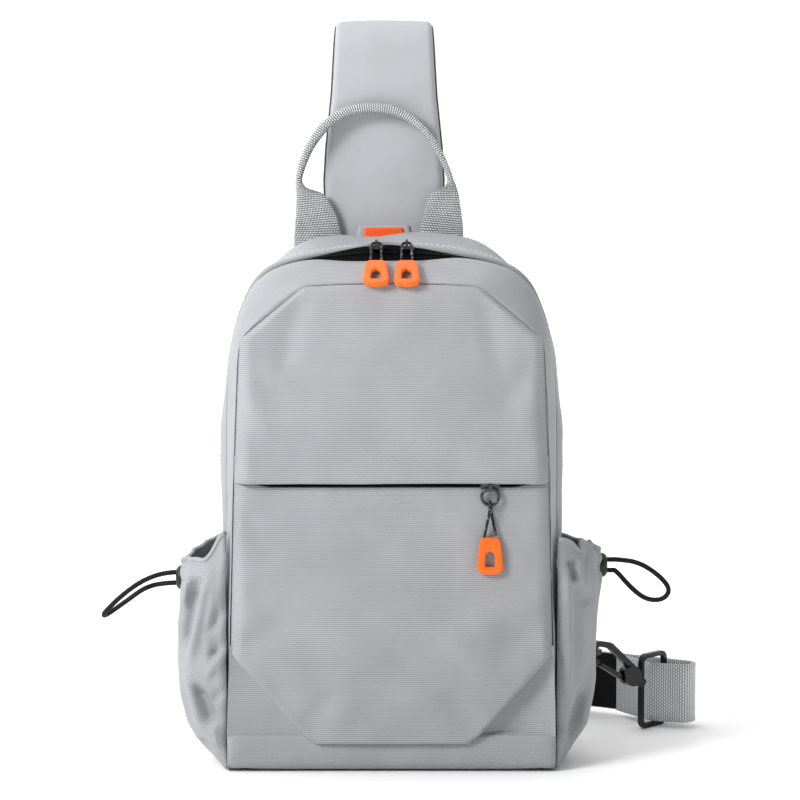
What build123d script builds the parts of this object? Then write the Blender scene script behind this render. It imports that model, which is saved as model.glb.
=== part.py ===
"""Single-strap sling daypack: every sewn panel, zip, strap, cord and metal fitting as its own solid.

Frame: the front faces -Y, +X is the wearer's view of the right side, +Z is up.
The origin is the centre of the flat base that the bag stands on. Sizes are in millimetres.
"""
from build123d import *
import math
import os

os.makedirs("parts", exist_ok=True)

# ---- driving dimensions of the body ----
BASE_T = 3.0             # foam-backed base board
WALL = 3.0               # fabric, foam and lining of a gusset
FRONT_Y = -47.5          # plane that the front panels are sewn to
BACK_Y = 50.0            # outer face of the back panel
FRONT_PANEL_T = 1.5
ZIP_FRONT_Y = -26.0      # front edge of the main zip's tape
ZIP_REAR_Y = -14.0
CROWN_Y = 28.0           # where the body is widest and tallest
ARCH_RISE = 5.0          # rise of the shallow arc across the top
GAP = 0.3                # clearance between pieces that move past each other

# half width at the base, half width, shoulder height and top height of the arch at each depth
STATIONS = [
    (FRONT_Y, 96.0, 91.0, 205.0, 289.0),
    (ZIP_FRONT_Y, 98.0, 98.0, 220.0, 308.0),
    (ZIP_REAR_Y, 98.5, 98.5, 222.0, 310.0),
    (CROWN_Y, 99.0, 101.0, 229.0, 320.0),
    (BACK_Y, 96.0, 97.0, 225.0, 317.0),
]

# ---- front pocket, its flap and its zip ----
HEM_Z = 172.5            # lower edge of the flap
FLAP_TOP_Z = 288.0
FLAP_HALF = 90.0
FLAP_CHAMFER_Z = 251.0
FLAP_TOP_HALF = 52.0
POCKET_TOP_Z = 167.6     # top edge of the lower panel
POCKET_BOTTOM_Z = 17.6
BAND_H = 22.0
CORNER_Z = 71.0          # where the lower panel's chamfer meets its side
FRONT_WALL_Y = -40.0
FRONT_ZIP_Z = 174.0
FRONT_ZIP_HALF = 82.0
COIL_T = 1.3
SLIDER_X = 58.0

# ---- strap, handle and webbing ----
STRAP_X = -5.0
STRAP_START = (54.6, 296.0)
STRAP_RISE = (58.2, 447.0)
STRAP_FALL = (98.0, 447.0)
STRAP_END = (140.0, 120.0)
STRAP_BEND = 17.0
FOAM_T = 4.6
FACE_T = 1.2
MESH_T = 1.8
WEB_W = 38.0
WEB_T = 1.7
HANDLE_X = -9.5
HANDLE_Y = 46.0
HANDLE_FOOT_Z = 318.2
HANDLE_ROLL_R = 3.6
HANDLE_SPAN = 92.0       # between the middles of the rolled legs
HANDLE_TOP_Z = 393.5
ANCHOR_W = 26.0
ANCHOR_SPREAD = 78.0     # between the middles of the two sewn feet

# ---- side pockets and their elastic ----
POCKET_FRONT_Y = -38.0
POCKET_REAR_Y = 28.0
POCKET_WALL = 2.0
POCKET_SIDE_X = 100.6
ELASTIC_D = 3.0
STRANDS_APART = 6.5

# ---- metal fittings ----
WIRE = 2.8
RING_WIRE = 1.4
RING_R = 5.3
HOOK_ROOT = Vector(158.0, 73.0, 32.0)
HOOK_DIR = Vector(-30.0, -22.0, 24.5).normalized()
HOOK_DOWN = (Vector(0, 0, -1) - HOOK_DIR * Vector(0, 0, -1).dot(HOOK_DIR)).normalized()
HOOK_NORMAL = HOOK_DIR.cross(HOOK_DOWN)


def finish(piece, name):
    """Labels a piece and writes its STEP file."""
    piece.part.label = name
    export_step(piece.part, f"parts/{name}.step")


# ---------------------------------------------------------------- body shell
def outline_at(y):
    """Half width at the base, half width, shoulder and top of the body's arch at depth y."""
    for near, far in zip(STATIONS, STATIONS[1:]):
        if near[0] <= y <= far[0]:
            share = (y - near[0]) / (far[0] - near[0])
            return [a + (b - a) * share for a, b in zip(near[1:], far[1:])]
    raise ValueError(f"depth {y} lies outside the body")


def arch(y, inset=0.0, floor=BASE_T):
    """The body's closed arch-shaped section at depth y, drawn in by inset."""
    base_half, half, shoulder, top = outline_at(y)
    corner_x = half / 2
    with BuildSketch(Plane.XZ.offset(-y)) as section:
        with BuildLine():
            Line((-base_half + inset, floor), (base_half - inset, floor))
            Line((base_half - inset, floor), (half - inset, shoulder))
            TangentArc((half - inset, shoulder), (corner_x, top - ARCH_RISE - inset), tangent=(0, 1))
            ThreePointArc(
                (corner_x, top - ARCH_RISE - inset),
                (0, top - inset),
                (-corner_x, top - ARCH_RISE - inset),
            )
            TangentArc((-half + inset, shoulder), (-corner_x, top - ARCH_RISE - inset), tangent=(0, 1))
            Line((-half + inset, shoulder), (-base_half + inset, floor))
        make_face()
    return section.sketch.faces()[0]


def arch_band(depths, outer=0.0, wall=WALL):
    """An upside-down U band of the body between the first and the last of depths."""
    with BuildPart() as band:
        loft(sections=[arch(y, outer) for y in depths], ruled=True)
        loft(sections=[arch(y, outer + wall, BASE_T - 1) for y in depths], ruled=True,
             mode=Mode.SUBTRACT)
    return band


rear_gusset = arch_band([ZIP_REAR_Y, CROWN_Y, BACK_Y - WALL])
finish(rear_gusset, "rear_gusset")

front_gusset = arch_band([FRONT_Y, ZIP_FRONT_Y])
finish(front_gusset, "front_gusset")

main_zip_tape = arch_band([ZIP_FRONT_Y, ZIP_REAR_Y], outer=1.6, wall=1.0)
finish(main_zip_tape, "main_zip_tape")

ZIP_MID_Y = (ZIP_FRONT_Y + ZIP_REAR_Y) / 2
COIL_HALF_W = 2.2
main_zip_coil = arch_band([ZIP_MID_Y - COIL_HALF_W, ZIP_MID_Y + COIL_HALF_W], outer=0.5, wall=1.1)
finish(main_zip_coil, "main_zip_coil")

with BuildPart() as back_panel:
    loft(sections=[arch(BACK_Y - WALL), arch(BACK_Y)], ruled=True)
finish(back_panel, "back_panel")

PAD_T = 5.0
for side, name in ((-1, "back_pad_left"), (1, "back_pad_right")):
    with BuildPart() as back_pad:
        with BuildSketch(Plane.XZ.offset(-BACK_Y)):
            with Locations((side * 43, 160)):
                RectangleRounded(66, 250, 24)
        extrude(amount=-PAD_T)
        fillet(back_pad.faces().sort_by(Axis.Y)[-1].edges(), 3)
    finish(back_pad, name)

SLEEVE_T = 1.2
with BuildPart() as inner_sleeve:
    with BuildSketch(Plane.XZ.offset(-(BACK_Y - WALL - 0.5 - SLEEVE_T))):
        with Locations((0, 95)):
            RectangleRounded(170, 176, 8)
    extrude(amount=-SLEEVE_T)
finish(inner_sleeve, "inner_sleeve")

with BuildPart() as front_wall:
    extrude(arch(FRONT_WALL_Y, WALL + GAP, BASE_T + GAP), amount=-1.6)
finish(front_wall, "front_wall")

with BuildPart() as base_panel:
    with BuildSketch(Plane.XY):
        with Locations((0, (FRONT_Y + BACK_Y) / 2)):
            RectangleRounded(192, BACK_Y - FRONT_Y, 6)
    extrude(amount=BASE_T)
    chamfer(base_panel.faces().sort_by(Axis.Z)[0].edges(), 0.8)
finish(base_panel, "base_panel")

# ---------------------------------------------------------------- front panels
with BuildPart() as bottom_band:
    with BuildSketch(Plane.XZ.offset(-FRONT_Y)):
        with BuildLine():
            Polyline((-96, BASE_T), (96, BASE_T), (95.5, BAND_H), (54, BAND_H), (46, 16.8),
                     (-46, 16.8), (-54, BAND_H), (-95.5, BAND_H), close=True)
        make_face()
    extrude(amount=FRONT_PANEL_T)
finish(bottom_band, "bottom_band")

with BuildPart() as front_panel:
    with BuildSketch(Plane.XZ.offset(-FRONT_Y)):
        with BuildLine():
            Polyline((-92.5, POCKET_TOP_Z), (-95.4, CORNER_Z), (-52.4, BAND_H), (-45, POCKET_BOTTOM_Z),
                     (45, POCKET_BOTTOM_Z), (52.4, BAND_H), (95.4, CORNER_Z), (92.5, POCKET_TOP_Z),
                     close=True)
        make_face()
    extrude(amount=FRONT_PANEL_T)
finish(front_panel, "front_panel")

for side, name in ((-1, "corner_gusset_left"), (1, "corner_gusset_right")):
    with BuildPart() as corner_gusset:
        with BuildSketch(Plane.XZ.offset(-FRONT_Y)):
            with BuildLine():
                Polyline((side * 95.2, CORNER_Z - 1.6), (side * 95.2, BAND_H + GAP),
                         (side * 53.6, BAND_H + GAP), close=True)
            make_face()
        extrude(amount=1.0)
    finish(corner_gusset, name)

FLAP_STAND = 5.1         # how far the flap's hem stands out to cover the slider
FLAP_T = 1.8
with BuildPart() as front_flap:
    with BuildSketch(Plane.YZ):
        with BuildLine():
            Polyline((FRONT_Y, 190), (FRONT_Y, FLAP_TOP_Z), (FRONT_Y - 2.2, FLAP_TOP_Z),
                     (FRONT_Y - 4.4, 215), (FRONT_Y - FLAP_STAND - FLAP_T, HEM_Z),
                     (FRONT_Y - FLAP_STAND, HEM_Z), (FRONT_Y - 3.6, 186), close=True)
        make_face()
    extrude(amount=FLAP_HALF + 5, both=True)
    with BuildSketch(Plane.XZ.offset(-FRONT_Y)):
        with BuildLine():
            Polyline((-92.3, HEM_Z), (92.3, HEM_Z), (FLAP_HALF, FLAP_CHAMFER_Z),
                     (FLAP_TOP_HALF, FLAP_TOP_Z), (-FLAP_TOP_HALF, FLAP_TOP_Z),
                     (-FLAP_HALF, FLAP_CHAMFER_Z), close=True)
        make_face()
    extrude(amount=20, both=True, mode=Mode.INTERSECT)
finish(front_flap, "front_flap")

TAPE_T = 1.0
with BuildPart() as front_zip_tape:
    with BuildSketch(Plane.XZ.offset(-FRONT_Y)):
        with Locations((0, FRONT_ZIP_Z + 2.5)):
            Rectangle(2 * FRONT_ZIP_HALF + 12, 16)
    extrude(amount=TAPE_T)
finish(front_zip_tape, "front_zip_tape")

with BuildPart() as front_zip_coil:
    with BuildSketch(Plane.XZ.offset(-(FRONT_Y - TAPE_T))):
        with Locations((0, FRONT_ZIP_Z)):
            Rectangle(2 * FRONT_ZIP_HALF, 4.4)
    extrude(amount=COIL_T)
finish(front_zip_coil, "front_zip_coil")

# ---------------------------------------------------------------- front zip slider and its pull
COIL_FACE_Y = FRONT_Y - TAPE_T - COIL_T
SLIDER_T = 1.5
PIVOT_Y = -53.0
PIVOT_Z = 170.3
with BuildPart() as front_zip_slider:
    with BuildSketch(Plane.XZ.offset(-(COIL_FACE_Y - GAP))):
        with Locations((SLIDER_X, FRONT_ZIP_Z)):
            RectangleRounded(11, 11, 2)
    extrude(amount=SLIDER_T)
    with BuildSketch(Plane.YZ.offset(SLIDER_X - 1)):
        with BuildLine():
            Polyline((COIL_FACE_Y - GAP, 172), (COIL_FACE_Y - GAP, 168.3), (PIVOT_Y - 1.9, 168.3),
                     (PIVOT_Y - 1.9, 172.1), close=True)
        make_face()
    extrude(amount=2)
    with BuildSketch(Plane.YZ.offset(SLIDER_X - 2)):
        with Locations((PIVOT_Y, PIVOT_Z)):
            Circle(1.15)
    extrude(amount=4, mode=Mode.SUBTRACT)
finish(front_zip_slider, "front_zip_slider")

RING_Z = PIVOT_Z - RING_R
with BuildPart() as front_zip_ring:
    with BuildSketch(Plane.XY.offset(RING_Z)):
        with Locations((SLIDER_X + RING_R, PIVOT_Y)):
            Circle(RING_WIRE / 2)
    revolve(axis=Axis((SLIDER_X, PIVOT_Y, RING_Z), (0, 1, 0)), revolution_arc=360)
finish(front_zip_ring, "front_zip_ring")

GRIP_LENGTH = 22.0
GRIP_T = 4.0
PULL_CORD_D = 1.6


def pull_grip(plane):
    """A moulded trapezoid grip, wider at its free end, with a house-shaped window. Its top edge is on
    the plane's origin and it runs along the plane's y."""
    with BuildPart() as grip:
        with BuildSketch(plane):
            with BuildLine():
                Polyline((-5.4, 0), (5.4, 0), (7.6, GRIP_LENGTH), (-7.6, GRIP_LENGTH), close=True)
            make_face()
            with BuildLine():
                Polyline((0, 5.4), (3.1, 8.2), (3.4, 15.2), (-3.4, 15.2), (-3.1, 8.2), close=True)
            make_face(mode=Mode.SUBTRACT)
        extrude(amount=GRIP_T / 2, both=True)
        fillet(grip.edges().filter_by(Axis(plane.origin, plane.z_dir)), 0.9)
    return grip


def cord_tube(route, diameter, name):
    """A cord as straight runs joined by tangent arcs, each arc as large as its two runs allow."""
    points = [Vector(*p) for p in route]
    runs = [b - a for a, b in zip(points, points[1:])]
    radii = []
    for before, after in zip(runs, runs[1:]):
        turn = math.radians(before.get_angle(after))
        radii.append(0.45 * min(before.length, after.length) / math.tan(turn / 2))
    with BuildPart() as tube:
        with BuildLine() as centre:
            FilletPolyline(*points, radius=radii)
        path = centre.wires()[0]
        with BuildSketch(Plane(path @ 0, z_dir=path % 0)):
            Circle(diameter / 2)
        sweep(path=path)
    expected = math.pi * diameter ** 2 / 4 * path.length
    print(f"{name}: length {path.length:.1f}, radii {[round(r, 1) for r in radii]}, "
          f"volume {tube.part.volume:.1f} of {expected:.1f}")
    return tube


GRIP_TOP_Z = 141.0
RING_LOW_Z = RING_Z - RING_R
CORD_STANDOFF = RING_WIRE / 2 + PULL_CORD_D / 2 + 0.25
front_pull_cord = cord_tube([
    (SLIDER_X - 3.4, PIVOT_Y, GRIP_TOP_Z + 0.2),
    (SLIDER_X - 2.2, PIVOT_Y - 0.6, GRIP_TOP_Z + 7),
    (SLIDER_X - 0.6, PIVOT_Y - CORD_STANDOFF - 0.3, GRIP_TOP_Z + 14),
    (SLIDER_X, PIVOT_Y - CORD_STANDOFF - 0.1, RING_LOW_Z + CORD_STANDOFF + 0.6),
    (SLIDER_X, PIVOT_Y + CORD_STANDOFF + 0.1, RING_LOW_Z + CORD_STANDOFF + 0.6),
    (SLIDER_X + 0.6, PIVOT_Y + CORD_STANDOFF + 0.3, GRIP_TOP_Z + 14),
    (SLIDER_X + 2.2, PIVOT_Y + 0.6, GRIP_TOP_Z + 7),
    (SLIDER_X + 3.4, PIVOT_Y, GRIP_TOP_Z + 0.2),
], PULL_CORD_D, "front_pull_cord")
finish(front_pull_cord, "front_pull_cord")

front_pull_grip = pull_grip(Plane((SLIDER_X, PIVOT_Y, GRIP_TOP_Z), x_dir=(1, 0, 0), z_dir=(0, 1, 0)))
finish(front_pull_grip, "front_pull_grip")

# ---------------------------------------------------------------- main zip sliders and their pulls
BAIL_X = 9.0
BAIL_Y = -24.0
BAIL_Z = 313.4
PULL_SLOPE = 38.5        # the pulls lie on the sloping shoulder of the front gusset
PULL_DROP = 17.0         # from the bail to the grip
pull_dir = Vector(0, -math.cos(math.radians(PULL_SLOPE)), -math.sin(math.radians(PULL_SLOPE)))
ZIP_TOP_Z = outline_at(ZIP_MID_Y)[3]

for side, name in ((-1, "left"), (1, "right")):
    bail = Vector(side * BAIL_X, BAIL_Y, BAIL_Z)
    with BuildPart() as main_slider:
        with BuildSketch(Plane.XY.offset(ZIP_TOP_Z + 0.6)):
            with Locations((side * BAIL_X, ZIP_MID_Y)):
                RectangleRounded(9, 8.4, 2)
        extrude(amount=1.8)
        with BuildSketch(Plane.YZ.offset(side * BAIL_X - 0.8)):
            with BuildLine():
                Polyline((ZIP_MID_Y + 3.4, ZIP_TOP_Z + 1.4), (BAIL_Y - 2.2, ZIP_TOP_Z + 1.4),
                         (BAIL_Y - 2.2, BAIL_Z + 1.4), (BAIL_Y - 1, BAIL_Z + 2.2),
                         (BAIL_Y + 1.6, BAIL_Z + 2.2), close=True)
            make_face()
        extrude(amount=1.6)
        with BuildSketch(Plane.YZ.offset(side * BAIL_X - 2)):
            with Locations((BAIL_Y, BAIL_Z)):
                Circle(1.2)
        extrude(amount=4, mode=Mode.SUBTRACT)
    finish(main_slider, f"main_slider_{name}")

    cord_route = []
    for across, along in ((-3.2, PULL_DROP - 0.1), (-3.0, 10), (-2.8, 4.6), (-2.7, 0), (2.7, 0), (2.8, 4.6),
                          (3.0, 10), (3.2, PULL_DROP - 0.1)):
        point = bail + pull_dir * along
        cord_route.append((point.X + across, point.Y, point.Z))
    pull_cord = cord_tube(cord_route, PULL_CORD_D, f"pull_cord_{name}")
    finish(pull_cord, f"pull_cord_{name}")

    grip_top = bail + pull_dir * PULL_DROP
    main_grip = pull_grip(Plane(grip_top, x_dir=(1, 0, 0), z_dir=Vector(1, 0, 0).cross(pull_dir)))
    finish(main_grip, f"pull_grip_{name}")


# ---------------------------------------------------------------- padded shoulder strap
def offset_path(points, amount):
    """The points of a polyline moved sideways by amount, mitred at its corners."""
    vectors = [Vector(*p) for p in points]
    runs = [(b - a).normalized() for a, b in zip(vectors, vectors[1:])]
    normals = [Vector(-r.Y, r.X) for r in runs]
    moved = [vectors[0] + normals[0] * amount]
    for corner, before, after in zip(vectors[1:-1], normals, normals[1:]):
        mitre = (before + after).normalized()
        moved.append(corner + mitre * (amount / mitre.dot(before)))
    moved.append(vectors[-1] + normals[-1] * amount)
    return [(v.X, v.Y) for v in moved]


STRAP_PATH = [STRAP_START, STRAP_RISE, STRAP_FALL, STRAP_END]


def strap_layer(inner, outer):
    """One layer of the strap between two offsets from its middle, cut to the strap's outline."""
    with BuildPart() as layer:
        with BuildSketch(Plane.YZ.offset(STRAP_X)):
            with BuildLine():
                a = FilletPolyline(*offset_path(STRAP_PATH, inner), radius=STRAP_BEND + inner)
                b = FilletPolyline(*offset_path(STRAP_PATH, outer), radius=STRAP_BEND + outer)
                Line(a @ 0, b @ 0)
                Line(a @ 1, b @ 1)
            make_face()
        extrude(amount=50, both=True)
        with BuildSketch(Plane.XZ):
            with BuildLine():
                Polyline((STRAP_X - 19, 118), (STRAP_X + 19, 118), (STRAP_X + 36, 190),
                         (STRAP_X + 37.5, 330), (STRAP_X + 33, 405), (STRAP_X + 31, 446),
                         (STRAP_X + 27, 453), (STRAP_X - 27, 453), (STRAP_X - 31, 446),
                         (STRAP_X - 33, 405), (STRAP_X - 37.5, 330), (STRAP_X - 36, 190), close=True)
            make_face()
        extrude(amount=200, both=True, mode=Mode.INTERSECT)
    return layer


strap_foam = strap_layer(-FOAM_T / 2, FOAM_T / 2)
finish(strap_foam, "strap_foam")
strap_face = strap_layer(FOAM_T / 2, FOAM_T / 2 + FACE_T)
finish(strap_face, "strap_face")
strap_mesh = strap_layer(-FOAM_T / 2 - MESH_T, -FOAM_T / 2)
finish(strap_mesh, "strap_mesh")

with BuildPart() as label_patch:
    with BuildSketch(Plane.XZ.offset(-(STRAP_START[0] - FOAM_T / 2 - FACE_T - 0.15))):
        with Locations((STRAP_X, 313)):
            Trapezoid(32, 18, 70)
    extrude(amount=0.9)
finish(label_patch, "label_patch")

# ---------------------------------------------------------------- grab handle
with BuildPart() as grab_handle:
    half = HANDLE_SPAN / 2
    roll_top = HANDLE_TOP_Z
    with BuildLine() as arch_line:
        FilletPolyline(
            (HANDLE_X - half + 4, HANDLE_Y, HANDLE_FOOT_Z + 18),
            (HANDLE_X - half - 3, HANDLE_Y, HANDLE_FOOT_Z + 40),
            (HANDLE_X - 24, HANDLE_Y, roll_top),
            (HANDLE_X + 24, HANDLE_Y, roll_top),
            (HANDLE_X + half + 3, HANDLE_Y, HANDLE_FOOT_Z + 40),
            (HANDLE_X + half - 4, HANDLE_Y, HANDLE_FOOT_Z + 18),
            radius=[22, 26, 26, 22],
        )
    roll_path = arch_line.wires()[0]
    with BuildSketch(Plane(roll_path @ 0, z_dir=roll_path % 0)):
        Circle(HANDLE_ROLL_R)
    sweep(path=roll_path)
    for side in (-1, 1):
        foot_x = HANDLE_X + side * ANCHOR_SPREAD / 2
        with BuildSketch(Plane.XZ.offset(-HANDLE_Y)):
            with BuildLine():
                Polyline((foot_x - ANCHOR_W / 2, HANDLE_FOOT_Z), (foot_x + ANCHOR_W / 2, HANDLE_FOOT_Z),
                         (foot_x + 10 + side * 3, HANDLE_FOOT_Z + 20),
                         (foot_x + 4 + side * 4, HANDLE_FOOT_Z + 26),
                         (foot_x - 4 + side * 4, HANDLE_FOOT_Z + 26),
                         (foot_x - 10 + side * 3, HANDLE_FOOT_Z + 20), close=True)
            make_face()
        extrude(amount=0.9, both=True)
finish(grab_handle, "grab_handle")

# ---------------------------------------------------------------- strap adjuster and webbing
fall = (Vector(*STRAP_END) - Vector(*STRAP_FALL)).normalized()
STRAP_DOWN = Vector(0, fall.X, fall.Y)
STRAP_OUT = Vector(1, 0, 0).cross(STRAP_DOWN) * -1
BAR = 3.4
FRAME_T = 2.6
SLOT = 7.0
BAR_PITCH = BAR + SLOT
ADJUSTER_DROP = 26.0
adjuster_at = Vector(STRAP_X, *STRAP_END) + STRAP_DOWN * ADJUSTER_DROP
adjuster_plane = Plane(adjuster_at, x_dir=(1, 0, 0), z_dir=STRAP_OUT)
# which way the strap falls along the plane's own y
DOWN = 1 if adjuster_plane.y_dir.dot(STRAP_DOWN) > 0 else -1

with BuildPart() as tri_glide:
    with BuildSketch(adjuster_plane):
        RectangleRounded(WEB_W + 8, 2 * BAR_PITCH + BAR, 3)
        with Locations((0, BAR_PITCH / 2), (0, -BAR_PITCH / 2)):
            Rectangle(WEB_W + 1.2, SLOT, mode=Mode.SUBTRACT)
    extrude(amount=FRAME_T / 2, both=True)
finish(tri_glide, "tri_glide")


def bar_loop(plane, centre_y, width, bar_y, bar_z):
    """Webbing folded round a bar: a rectangular sleeve along the plane's x. Added to the open part."""
    along = Plane(plane.from_local_coords(Vector(-width / 2, centre_y, 0)), x_dir=plane.y_dir,
                  z_dir=plane.x_dir)
    with BuildSketch(along) as sleeve:
        RectangleRounded(bar_y + 2 * GAP + 2 * WEB_T, bar_z + 2 * GAP + 2 * WEB_T, 2.2)
        Rectangle(bar_y + 2 * GAP, bar_z + 2 * GAP, mode=Mode.SUBTRACT)
    return sleeve.sketch


BACK_FACE = FRAME_T / 2 + GAP
with BuildPart() as adjuster_tab:
    extrude(bar_loop(adjuster_plane, -DOWN * BAR_PITCH, WEB_W, BAR, FRAME_T), amount=WEB_W)
    with BuildSketch(adjuster_plane.offset(-BACK_FACE - WEB_T)):
        with Locations((0, -DOWN * (BAR_PITCH + 6.7))):
            Rectangle(WEB_W, 9.4)
    extrude(amount=WEB_T)
finish(adjuster_tab, "adjuster_tab")

WEB_END_DROP = 26.0
web_plane = adjuster_plane.offset(-BACK_FACE - WEB_T / 2)
web_start = web_plane.from_local_coords(Vector(0, DOWN * WEB_END_DROP, 0))


def web_section(point, across, along):
    """A cross-section of the webbing: across is its width direction and along the way it runs."""
    with BuildSketch(Plane(point, x_dir=across, z_dir=along)) as section:
        Rectangle(WEB_W, WEB_T)
    return section.sketch.faces()[0]


EDGE_Z = 3.4             # lower edge of the webbing where it stands on edge
WEB_MID_Z = EDGE_Z + WEB_W / 2
LEG_START = (84.0, 150.0)
LEG_DIR = Vector(49, -17, 0).normalized()
turned = math.sin(math.radians(45))
with BuildPart() as strap_webbing:
    extrude(bar_loop(adjuster_plane, 0, WEB_W, BAR, FRAME_T), amount=WEB_W)
    with BuildSketch(web_plane.offset(-WEB_T / 2)):
        with Locations((0, DOWN * (WEB_END_DROP / 2 + 0.7))):
            Rectangle(WEB_W, WEB_END_DROP - 1.4)
    extrude(amount=WEB_T)
    loft(sections=[
        web_section(web_start, Vector(1, 0, 0), STRAP_DOWN),
        web_section(Vector(-4, 149.5, 52), Vector(turned, turned, 0), Vector(0.03, 0.06, -1)),
        web_section(Vector(-2, 151, 30), Vector(0, 1, 0), Vector(0.1, 0, -1)),
        web_section(Vector(4, 151, 10), Vector(0, 1, 0), Vector(0.7, 0, -0.7)),
        web_section(Vector(22, 151, WEB_T / 2), Vector(0, 1, 0), Vector(1, 0, 0)),
        web_section(Vector(43, 151.5, 11.5), Vector(0, math.cos(math.radians(30)), 0.5), Vector(1, 0, 0)),
        web_section(Vector(63, 152, 19.2), Vector(0, 0.5, math.sin(math.radians(60))), Vector(1, 0, 0)),
        web_section(Vector(*LEG_START, WEB_MID_Z), Vector(0, 0, 1), LEG_DIR),
    ], ruled=True)
    with BuildSketch(Plane.XY.offset(EDGE_Z)):
        with BuildLine() as leg:
            FilletPolyline(LEG_START, (133, 133), (197, 90.3), (190.5, 77.5), (167, 86), (148.6, 119.6),
                           radius=[60, 7, 6, 20])
        trace(leg.line, line_width=WEB_T)
    extrude(amount=WEB_W)
finish(strap_webbing, "strap_webbing")

# ---------------------------------------------------------------- swivel snap hook
EYE_WIRE = 3.0
EYE_NEAR = Vector(160, 76, 0)
EYE_FAR = Vector(176.4, 94.6, 0)
EYE_LOW_Z = 0.0
EYE_TOP_Z = 48.5
eye_across = (EYE_FAR - EYE_NEAR).normalized()
eye_mid = (EYE_FAR + EYE_NEAR) * 0.5 + Vector(0, 0, (EYE_LOW_Z + EYE_TOP_Z) / 2)
eye_plane = Plane(eye_mid, x_dir=eye_across, z_dir=eye_across.cross(Vector(0, 0, 1)))
hook_plane = Plane(HOOK_ROOT, x_dir=HOOK_DIR, z_dir=HOOK_NORMAL)
barrel_plane = Plane(HOOK_ROOT + HOOK_DIR * 1.0, x_dir=HOOK_NORMAL, z_dir=HOOK_DIR)
PIN_R = 1.6
with BuildPart() as hook_eye:
    with BuildSketch(eye_plane):
        RectangleRounded((EYE_FAR - EYE_NEAR).length + EYE_WIRE, EYE_TOP_Z - EYE_LOW_Z, 6)
        RectangleRounded((EYE_FAR - EYE_NEAR).length - EYE_WIRE, EYE_TOP_Z - EYE_LOW_Z - 2 * EYE_WIRE, 3.2,
                         mode=Mode.SUBTRACT)
    extrude(amount=EYE_WIRE / 2, both=True)
    with BuildSketch(barrel_plane.offset(-4.6)):
        Circle(3.4)
    extrude(amount=4.4)
    with BuildSketch(barrel_plane.offset(-0.4)):
        Circle(PIN_R)
    extrude(amount=7.0)
finish(hook_eye, "hook_eye")

GATE_PIVOT = (12.5, 4.6)
with BuildPart() as hook_body:
    with BuildSketch(hook_plane):
        with Locations((8.2, 0.4)):
            Ellipse(7.4, 6.4)
    extrude(amount=3.4, both=True)
    with BuildSketch(hook_plane):
        with BuildLine() as hook_line:
            FilletPolyline((9, -4.4), (35, -7.6), (46.2, -3.4), (45.2, 6.4), (37.8, 6.9),
                           radius=[5, 4.6, 3.6])
        trace(hook_line.line, line_width=3.8)
    extrude(amount=2.0, both=True)
    with BuildSketch(hook_plane):
        with Locations((15.6, 5.6)):
            Rectangle(11.0, 9.6)
    extrude(amount=1.9, both=True, mode=Mode.SUBTRACT)
    with BuildSketch(barrel_plane.offset(-0.4)):
        Circle(PIN_R + 0.1)
    extrude(amount=7.4, mode=Mode.SUBTRACT)
    with BuildSketch(hook_plane):
        with Locations(GATE_PIVOT):
            Circle(1.1)
    extrude(amount=5, both=True, mode=Mode.SUBTRACT)
finish(hook_body, "hook_body")

with BuildPart() as hook_gate:
    with BuildSketch(hook_plane):
        with Locations(GATE_PIVOT):
            Circle(1.9)
        with BuildLine():
            Polyline((12.5, 2.9), (35.0, 5.0), (35.2, 7.6), (12.5, 6.4), close=True)
        make_face()
        with Locations(GATE_PIVOT):
            Circle(1.15, mode=Mode.SUBTRACT)
    extrude(amount=1.5, both=True)
finish(hook_gate, "hook_gate")

with BuildPart() as gate_pin:
    with BuildSketch(hook_plane):
        with Locations(GATE_PIVOT):
            Circle(1.05)
    extrude(amount=3.6, both=True)
finish(gate_pin, "gate_pin")

# ---------------------------------------------------------------- D-rings and their tabs
RING_HALF = 10.5         # from the ring's middle to the centre of its arm
RING_REACH = 23.6        # from the straight bar to the far side of the arc
TAB_W = 16.0
BAR_HOLE_R = 2.15


def d_ring(plane):
    """A D-ring with its straight bar through the plane's origin along x, reaching along +y."""
    with BuildPart() as ring:
        with BuildSketch(plane):
            arms = RING_REACH - RING_HALF
            for grow, mode in ((WIRE / 2, Mode.ADD), (-WIRE / 2, Mode.SUBTRACT)):
                with Locations((0, (arms - grow) / 2)):
                    Rectangle(2 * (RING_HALF + grow), arms + grow, mode=mode)
                with Locations((0, arms)):
                    Circle(RING_HALF + grow, mode=mode)
        extrude(amount=WIRE / 2, both=True)
    return ring


def ring_tab(plane, reach):
    """Webbing folded round the D-ring's bar and carried back to the seam, trimmed to the body."""
    side_plane = Plane(plane.from_local_coords(Vector(-TAB_W / 2, 0, 0)), x_dir=plane.y_dir,
                       z_dir=plane.x_dir)
    with BuildPart() as tab:
        with BuildSketch(side_plane):
            Circle(BAR_HOLE_R + WEB_T)
            with Locations((-reach / 2, 0)):
                Rectangle(reach, 3.6)
            Circle(BAR_HOLE_R, mode=Mode.SUBTRACT)
        extrude(amount=TAB_W)
        loft(sections=[arch(y) for y in (ZIP_REAR_Y, CROWN_Y, BACK_Y)], ruled=True, mode=Mode.SUBTRACT)
    return tab


right_bar = Vector(108, 46.5, 57)
right_reach = Vector(130.6, 53, 54.9) - right_bar
bar_dir = Vector(0, 0, 1).cross(right_reach).normalized()
right_plane = Plane(right_bar, x_dir=bar_dir, z_dir=bar_dir.cross(right_reach))
finish(d_ring(right_plane), "d_ring_right")
finish(ring_tab(right_plane, 10), "d_ring_tab_right")

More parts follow.
